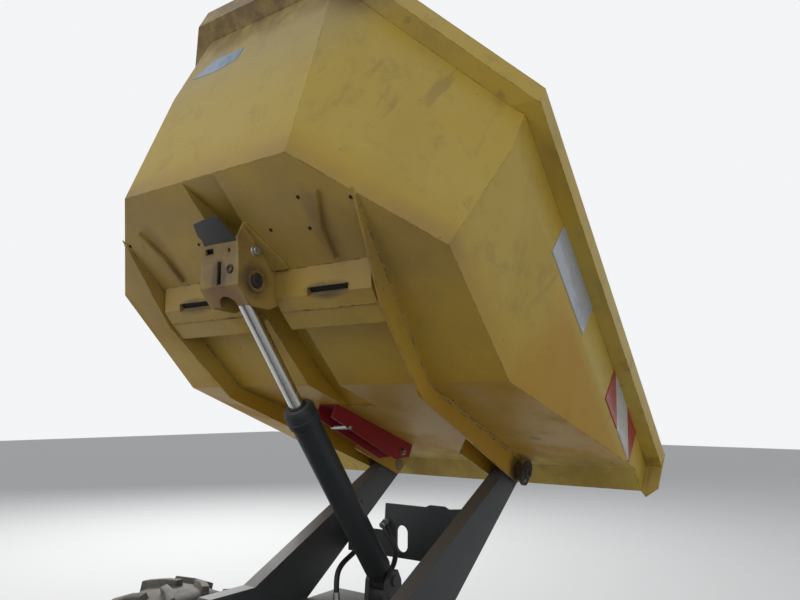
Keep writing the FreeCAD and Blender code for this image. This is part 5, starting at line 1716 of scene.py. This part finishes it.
@dataclass
class TankTrim(SubAssembly):
    """Cap grips, straps, a sight glass and drain plugs on the tanks."""

    low: float = 0.520
    high: float = 0.860
    outer: float = 0.540
    chamfer: float = 0.034

    def build(self) -> None:
        """Make the tanks' pieces."""
        for label, side in (("fuel", 1), ("hydraulic", -1)):
            ribs = []
            centre = (-0.995, side * 0.350, 0.0)
            for i in range(16):
                turn = Matrix.Rotation(math.tau * i / 16, 4, "Z")
                rib = block("rib", (0.0365, -0.004, 0.0), (0.0405, 0.004, 0.021))
                ribs.append(moved(softened(rib, 0.001, 1),
                                  Matrix.Translation((centre[0], centre[1], self.high + 0.004)) @ turn))
            top = lathe("cap_top", (centre[0], centre[1], self.high + 0.0275), "z",
                        [(-0.001, 0.0), (-0.001, 0.036), (0.003, 0.034), (0.005, 0.026), (0.003, 0.020),
                         (0.003, 0.0)], 36)
            self.add(joined(f"{label}_cap_grip", ribs + [smooth(top)]), Coat.HOSE)
            straps = []
            for x in (-0.760, -1.050):
                y0, y1 = side * (self.outer - self.chamfer), side * (self.outer + 0.0004)
                path = [(side * 0.205, self.high), (y0, self.high), (y1, self.high - self.chamfer),
                        (y1, self.low + self.chamfer), (y0, self.low), (side * 0.205, self.low)]
                thick = 0.003
                outer_path = [(side * 0.205, self.high + thick), (y0 + side * 0.001, self.high + thick),
                              (y1 + side * thick, self.high - self.chamfer + 0.001),
                              (y1 + side * thick, self.low + self.chamfer - 0.001),
                              (y0 + side * 0.001, self.low - thick), (side * 0.205, self.low - thick)]
                ring = [(x - 0.018, y, z) for y, z in path] + [(x - 0.018, y, z) for y,
                                                               z in reversed(outer_path)]
                straps.append(softened(plate("strap", ring, (0.036, 0.0, 0.0)), 0.0008, 1))
            self.add(joined(f"{label}_straps", straps), Coat.IRON)
            plug = facing((-0.900, side * 0.400, self.low), (0.0, 0.0, -1.0))
            self.add(copies(f"{label}_drain", hex_bolt(0.014), [plug]), Coat.ZINC)
        glass = block("sight_glass", (-0.912, -self.outer - 0.006, 0.640),
                      (-0.888, -self.outer + 0.001, 0.780))
        pressed(glass, "-y", 0.006, -0.003)
        self.add(softened(glass, 0.0015, 2), Coat.ZINC)


@dataclass
class WeightTrim(SubAssembly):
    """Tow pin, tail lamps and bolts of the counterweight."""

    rear: float = -2.1397
    tow_x: float = -2.09474

    def build(self) -> None:
        """Make the counterweight's pieces."""
        pin = lathe("tow_pin", (self.tow_x, 0.0, 0.0), "z", [
            (0.440, 0.0), (0.440, 0.012), (0.446, 0.0155), (0.760, 0.0155), (0.760, 0.026), (0.772, 0.026),
            (0.776, 0.022), (0.776, 0.0)], 32)
        handle = tube("tow_handle",
                      [(self.tow_x, -0.032, 0.772), (self.tow_x, -0.036, 0.815), (self.tow_x, 0.036, 0.815),
                       (self.tow_x, 0.032, 0.772)], 0.006)
        self.add(joined("tow_pin", [smooth(pin), handle]), Coat.ZINC)
        lamps = []
        rims = []
        for side in (1, -1):
            place = facing((self.rear + 0.0005, side * 0.290, 0.655), (-1.0, 0.0, 0.0))
            rim = turned("lamp_rim",
                         [(-0.004, 0.0), (-0.004, 0.045), (-0.001, 0.047), (0.0, 0.043), (0.0, 0.0)], 40)
            rims.append(moved(smooth(rim), place))
            lens = turned("lamp_lens",
                          [(-0.004, 0.0), (-0.004, 0.040), (0.0, 0.040), (0.0004, 0.030), (0.0004, 0.0)], 36)
            lamps.append(moved(smooth(lens), place))
        self.add(joined("tail_lamp_rims", rims), Coat.HOSE)
        self.add(joined("tail_lamps", lamps), Coat.LAMP_RED)
        spots = [facing((-2.00, side * 0.4298, z),
                        (0.0, side, 0.0)) for side in (1, -1) for z in (0.52, 0.70)]
        self.add(copies("weight_bolts", hex_bolt(0.020), spots), Coat.ZINC)


@dataclass
class HoopTrim(SubAssembly):
    """Bolts, stops and the beacon of the roll-over frame."""

    x: float = -1.160
    half: float = 0.400
    tube_half: float = 0.035
    pivot: float = 1.790
    top: float = 2.740

    def build(self) -> None:
        """Make the frame's pieces."""
        heads = []
        for side in (1, -1):
            for reach in (0.051, -0.051):
                y = side * self.half + reach
                heads.append(facing((self.x, y, self.pivot), (0.0, 1.0 if reach > 0 else -1.0, 0.0)))
        self.add(copies("hoop_bolts", hex_bolt(0.018), heads), Coat.ZINC)
        base = lathe("beacon_base", (self.x, 0.28, self.top), "z", [
            (-0.001, 0.0), (-0.001, 0.036), (0.004, 0.036), (0.008, 0.020), (0.040, 0.018), (0.044, 0.056),
            (0.058, 0.060), (0.062, 0.052), (0.062, 0.0)], 44)
        self.add(smooth(base), Coat.HOSE, "rops_top")
        dome = lathe("beacon_dome", (self.x, 0.28, self.top + 0.061), "z", [
            (0.0, 0.0), (0.0, 0.051), (0.070, 0.047), (0.086, 0.040), (0.094, 0.026), (0.097, 0.0)], 44)
        self.add(smooth(dome), Coat.AMBER, "rops_top")
        pads = []
        for side in (1, -1):
            y0 = side * self.half
            cushion = block("hoop_stop", (self.x - self.tube_half - 0.010, y0 - 0.020, 1.720),
                            (self.x - self.tube_half + 0.001, y0 + 0.020, 1.740))
            pads.append(softened(cushion, 0.003, 2))
        self.add(joined("hoop_stops", pads), Coat.HOSE)


@dataclass
class MudguardTrim(SubAssembly):
    """Rolled edges and bolts of the mudguards."""

    radius: float = 0.475
    centre_x: float = -1.0
    centre_z: float = 0.425

    def build(self) -> None:
        """Roll an edge along each guard."""
        for side, label in ((1, "left"), (-1, "right")):
            angles = (35.0, 47.0, 60.0, 75.0, 90.0, 105.0, 120.0, 133.0, 145.0)
            points = []
            for angle in angles:
                flat = self.radius - 0.004
                points.append((self.centre_x + math.cos(math.radians(angle)) * flat, side * 0.8815,
                               self.centre_z + math.sin(math.radians(angle)) * flat))
            corners = [p for p, a in zip(points, angles) if a in (35.0, 60.0, 90.0, 120.0, 145.0)]
            pieces = []
            for first, last in zip(corners, corners[1:]):
                run = Vector(last) - Vector(first)
                bar = turned("roll", [(0.0, 0.0), (0.0, 0.0045), (run.length, 0.0045), (run.length, 0.0)], 14)
                pieces.append(moved(smooth(bar), facing(first, run)))
            self.add(joined(f"guard_edge_{label}", pieces), Coat.SKIP)
            spots = [facing((self.centre_x + dx, side * 0.640, self.centre_z + self.radius - 0.0015),
                            (0.0, 0.0, 1.0)) for dx in (-0.04, 0.04)]
            self.add(copies(f"guard_bolts_{label}", hex_bolt(0.010), spots), Coat.ZINC)


@dataclass
class AxleTrim(SubAssembly):
    """Bolts round the axle housings and the steering lugs' pin caps."""

    housing_circle: float = 0.092
    flange_circle: float = 0.077

    def on_circle(self, x: float, y: float, radius: float, turn: float, look: float) -> Matrix:
        """A place on a circle round an axle, facing along Y."""
        return facing((x + math.cos(turn) * radius, y, AXLE_HEIGHT + math.sin(turn) * radius),
                      (0.0, look, 0.0))


    def build(self) -> None:
        """Set the bolts on both axles and the cap on the steering pin."""
        for body, x in (("front", 1.0), ("rear", -1.0)):
            spots = []
            for i in range(10):
                turn = math.tau * i / 10
                for reach in (0.095, -0.095):
                    spots.append(self.on_circle(x, reach, self.housing_circle, turn, reach))
            self.add(copies(f"{body}_housing_bolts", hex_bolt(0.009), spots), Coat.ZINC, body)
            flange = []
            for hand in (1, -1):
                for i in range(8):
                    turn = math.tau * (i + 0.5) / 8
                    flange.append(self.on_circle(x, hand * 0.654, self.flange_circle, turn, -hand))
            self.add(copies(f"{body}_flange_bolts", hex_bolt(0.009), flange), Coat.ZINC, body)
        cap = lathe("steer_pin_cap", (0.0, 0.0, 0.6920), "z",
                    [(-0.001, 0.0), (-0.001, 0.044), (0.007, 0.044), (0.010, 0.040), (0.010, 0.012),
                     (0.014, 0.008), (0.016, 0.0)], 40)
        self.add(smooth(cap), Coat.IRON, "yoke")


@dataclass
class EngineTrim(SubAssembly):
    """Rocker cover, radiator, air cleaner, filter, alternator and hoses under the hood."""

    top: float = 1.170

    def can(self, name: str, centre: Point, axis: str, radius: float, length: float, coat: Coat) -> None:
        """A closed canister with a rolled edge and a domed end."""
        profile = [(0.0, 0.0), (0.0, radius * 0.9), (0.006, radius), (0.016, radius), (0.020, radius * 0.94),
                   (0.026, radius),
                   (length - 0.020, radius), (length - 0.006, radius * 0.9), (length, radius * 0.45),
                   (length, 0.0)]
        self.add(smooth(lathe(name, centre, axis, profile, 36)), coat)

    def build(self) -> None:
        """Make the engine's pieces."""
        cover = block("rocker_cover", (-1.700, -0.085, self.top - 0.001), (-1.380, 0.085, self.top + 0.042))
        with editing(cover, "FACE", lambda centre, normal: normal.z > 0.9):
            bpy.ops.mesh.inset(thickness=0.014, depth=-0.006)
            bpy.ops.mesh.subdivide(number_cuts=1)
        self.add(softened(cover, 0.008, 3), Coat.ENGINE)
        bolts = [facing((x, y, self.top + 0.0415),
                        (0.0, 0.0, 1.0)) for x in (-1.693, -1.387) for y in (-0.060, 0.0, 0.060)]
        self.add(copies("rocker_bolts", hex_bolt(0.005), bolts), Coat.ZINC)
        self.can("oil_filler", (-1.600, 0.030, self.top + 0.034), "z", 0.020, 0.030, Coat.HOSE)
        self.can("air_cleaner", (-1.720, 0.290, 1.040), "x", 0.077, 0.270, Coat.PLASTIC)
        self.can("oil_filter", (-1.550, -0.258, 0.800), "z", 0.045, 0.130, Coat.SKIP)
        self.can("alternator", (-1.470, -0.268, 1.050), "x", 0.055, 0.130, Coat.STEEL)
        core = block("radiator", (-1.872, -0.200, 0.6485), (-1.832, 0.200, 1.080))
        pressed(core, "x", 0.022, -0.006, both=True)
        self.add(softened(core, 0.002, 2), Coat.HOSE)
        fins = [block("fin", (-1.8695, -0.178, z),
                      (-1.8345, 0.178, z + 0.002)) for z in (0.6720 + 0.0105 * i for i in range(37))]
        self.add(joined("radiator_fins", fins), Coat.STEEL)
        upper = tube("water_hose_top",
                     [(-1.852, -0.120, 1.070), (-1.852, -0.120, 1.150), (-1.800, -0.120, 1.190),
                      (-1.730, -0.120, 1.190), (-1.730, -0.120, 1.160)], 0.017)
        lower = tube("water_hose_low",
                     [(-1.836, 0.130, 0.740), (-1.800, 0.130, 0.740), (-1.785, 0.130, 0.790)], 0.017)
        self.add(joined("water_hoses", [upper, lower]), Coat.HOSE)
        fan = [block("blade", (-0.003, 0.022, -0.030), (0.003, 0.150, 0.030)) for _ in range(6)]
        for number, blade in enumerate(fan):
            moved(softened(blade, 0.002, 1),
                  Matrix.Rotation(math.radians(60.0 * number), 4,
                                  "X") @ Matrix.Rotation(math.radians(28.0), 4, "Y"))
        hub = lathe("fan_hub", (0.0, 0.0, 0.0), "x",
                    [(-0.012, 0.0), (-0.012, 0.034), (0.022, 0.034), (0.022, 0.0)], 28)
        self.add(moved(joined("cooling_fan", [smooth(hub)] + fan), Matrix.Translation((-1.811, 0.0, 0.900))),
                 Coat.HOSE)


@dataclass
class Studio:
    """Pale floor, soft light and the camera at the photograph's place."""

    camera_place: Point = (-0.794, -1.620, 1.532)
    lens: float = 30.47
    yaw: float = 35.37
    pitch: float = 9.01
    roll: float = 0.3
    floor_half: float = 30.0
    floor_colour: Colour = (0.62, 0.62, 0.61)

    def camera(self) -> None:
        """Set the camera up at the measured place, turn and lens."""
        yaw, pitch, roll = (math.radians(a) for a in (self.yaw, self.pitch, self.roll))
        ahead = Vector((math.cos(yaw) * math.cos(pitch), math.sin(yaw) * math.cos(pitch), math.sin(pitch)))
        right = Vector((math.sin(yaw), -math.cos(yaw), 0.0))
        above = right.cross(ahead)
        side = right * math.cos(roll) + above * math.sin(roll)
        up = above * math.cos(roll) - right * math.sin(roll)
        data = bpy.data.cameras.new("view")
        data.lens = self.lens
        data.sensor_width = 36.0
        data.clip_end = 200.0
        item = bpy.data.objects.new("view", data)
        bpy.context.scene.collection.objects.link(item)
        turn = Matrix((side, up, -ahead)).transposed().to_4x4()
        item.matrix_world = Matrix.Translation(self.camera_place) @ turn
        bpy.context.scene.camera = item

    def floor(self) -> None:
        """Lay the pale floor, seen white towards the horizon."""
        bpy.ops.object.select_all(action="DESELECT")
        bpy.ops.mesh.primitive_plane_add(size=self.floor_half * 2, location=(0.0, 0.0, 0.0))
        item = bpy.context.object
        item.name = "studio_floor"
        web = Web("floor_paper")
        grain = web.ramp(web.noise(40.0, 4.0), 0.3, 0.7, 0.96, 1.0)
        colour = web.blend(grain, tuple(c * 0.9 for c in self.floor_colour), self.floor_colour)
        item.data.materials.append(web.finish(colour, 0.9))

    def light(self, name: str, place: Point, aim: Point, size: float, power: float) -> None:
        """Hang one soft square lamp.

        Args:
            name: The lamp's name.
            place: Where it hangs.
            aim: What it looks at.
            size: Side length.
            power: Watts.
        """
        data = bpy.data.lights.new(name, "AREA")
        data.size = size
        data.energy = power
        item = bpy.data.objects.new(name, data)
        item.location = place
        item.rotation_euler = (Vector(aim) - Vector(place)).to_track_quat("-Z", "Y").to_euler()
        bpy.context.scene.collection.objects.link(item)

    def world(self) -> None:
        """Fill the room with even light, and show it pale behind the machine."""
        world = bpy.data.worlds.new("studio")
        world.use_nodes = True
        tree = world.node_tree
        tree.nodes.clear()
        output = tree.nodes.new("ShaderNodeOutputWorld")
        mix = tree.nodes.new("ShaderNodeMixShader")
        fill = tree.nodes.new("ShaderNodeBackground")
        seen = tree.nodes.new("ShaderNodeBackground")
        path = tree.nodes.new("ShaderNodeLightPath")
        both = tree.nodes.new("ShaderNodeMath")
        both.operation = "MAXIMUM"
        fill.inputs["Color"].default_value = (0.92, 0.95, 1.0, 1.0)
        fill.inputs["Strength"].default_value = 0.50
        seen.inputs["Color"].default_value = (0.90, 0.91, 0.92, 1.0)
        seen.inputs["Strength"].default_value = 1.0
        tree.links.new(path.outputs["Is Camera Ray"], both.inputs[0])
        tree.links.new(path.outputs["Is Glossy Ray"], both.inputs[1])
        tree.links.new(both.outputs[0], mix.inputs[0])
        tree.links.new(fill.outputs[0], mix.inputs[1])
        tree.links.new(seen.outputs[0], mix.inputs[2])
        tree.links.new(mix.outputs[0], output.inputs[0])
        bpy.context.scene.world = world

    def build(self) -> None:
        """Lay the floor and hang the lights."""
        self.floor()
        self.world()
        self.light("key", (5.5, 6.0, 6.5), (0.6, 0.0, 1.0), 4.5, 620.0)
        self.light("fill", (-5.0, -5.5, 4.5), (0.4, 0.0, 1.2), 6.0, 90.0)
        self.light("rear", (-6.5, 3.0, 4.5), (-0.6, 0.0, 0.9), 4.0, 110.0)
        bpy.context.scene.view_settings.view_transform = "Standard"


def main() -> None:
    """Dress the machine piece by piece, add its details and set up the studio."""
    logging.basicConfig(level=logging.INFO, format="%(name)s: %(message)s")
    palette = Palette()
    studio = Studio()
    studio.camera()
    slots = {row["node"]: row["material_slot"] for row in frame["record"]["subparts"]}
    for name, item in frame["nodes"].items():
        palette.dress(item, RECOATED.get(name, Coat(slots[name])))
    log.info("dressed %d solids", len(frame["nodes"]))
    for kind in SUB_ASSEMBLIES:
        kind(palette).build()
    studio.build()


RECOATED = {"tip_ram_barrel": Coat.BARREL, "steer_ram_barrel": Coat.BARREL}
SUB_ASSEMBLIES = (
    HoseSet, SkipTrim, RamTrim, TyreSet, WheelTrim, OperatorSeat, HandWheel, ConsoleTrim, HoodTrim, DeckTrim,
    TankTrim,
    WeightTrim, HoopTrim, MudguardTrim, AxleTrim, EngineTrim,
)

if __name__ == "__main__":
    main()
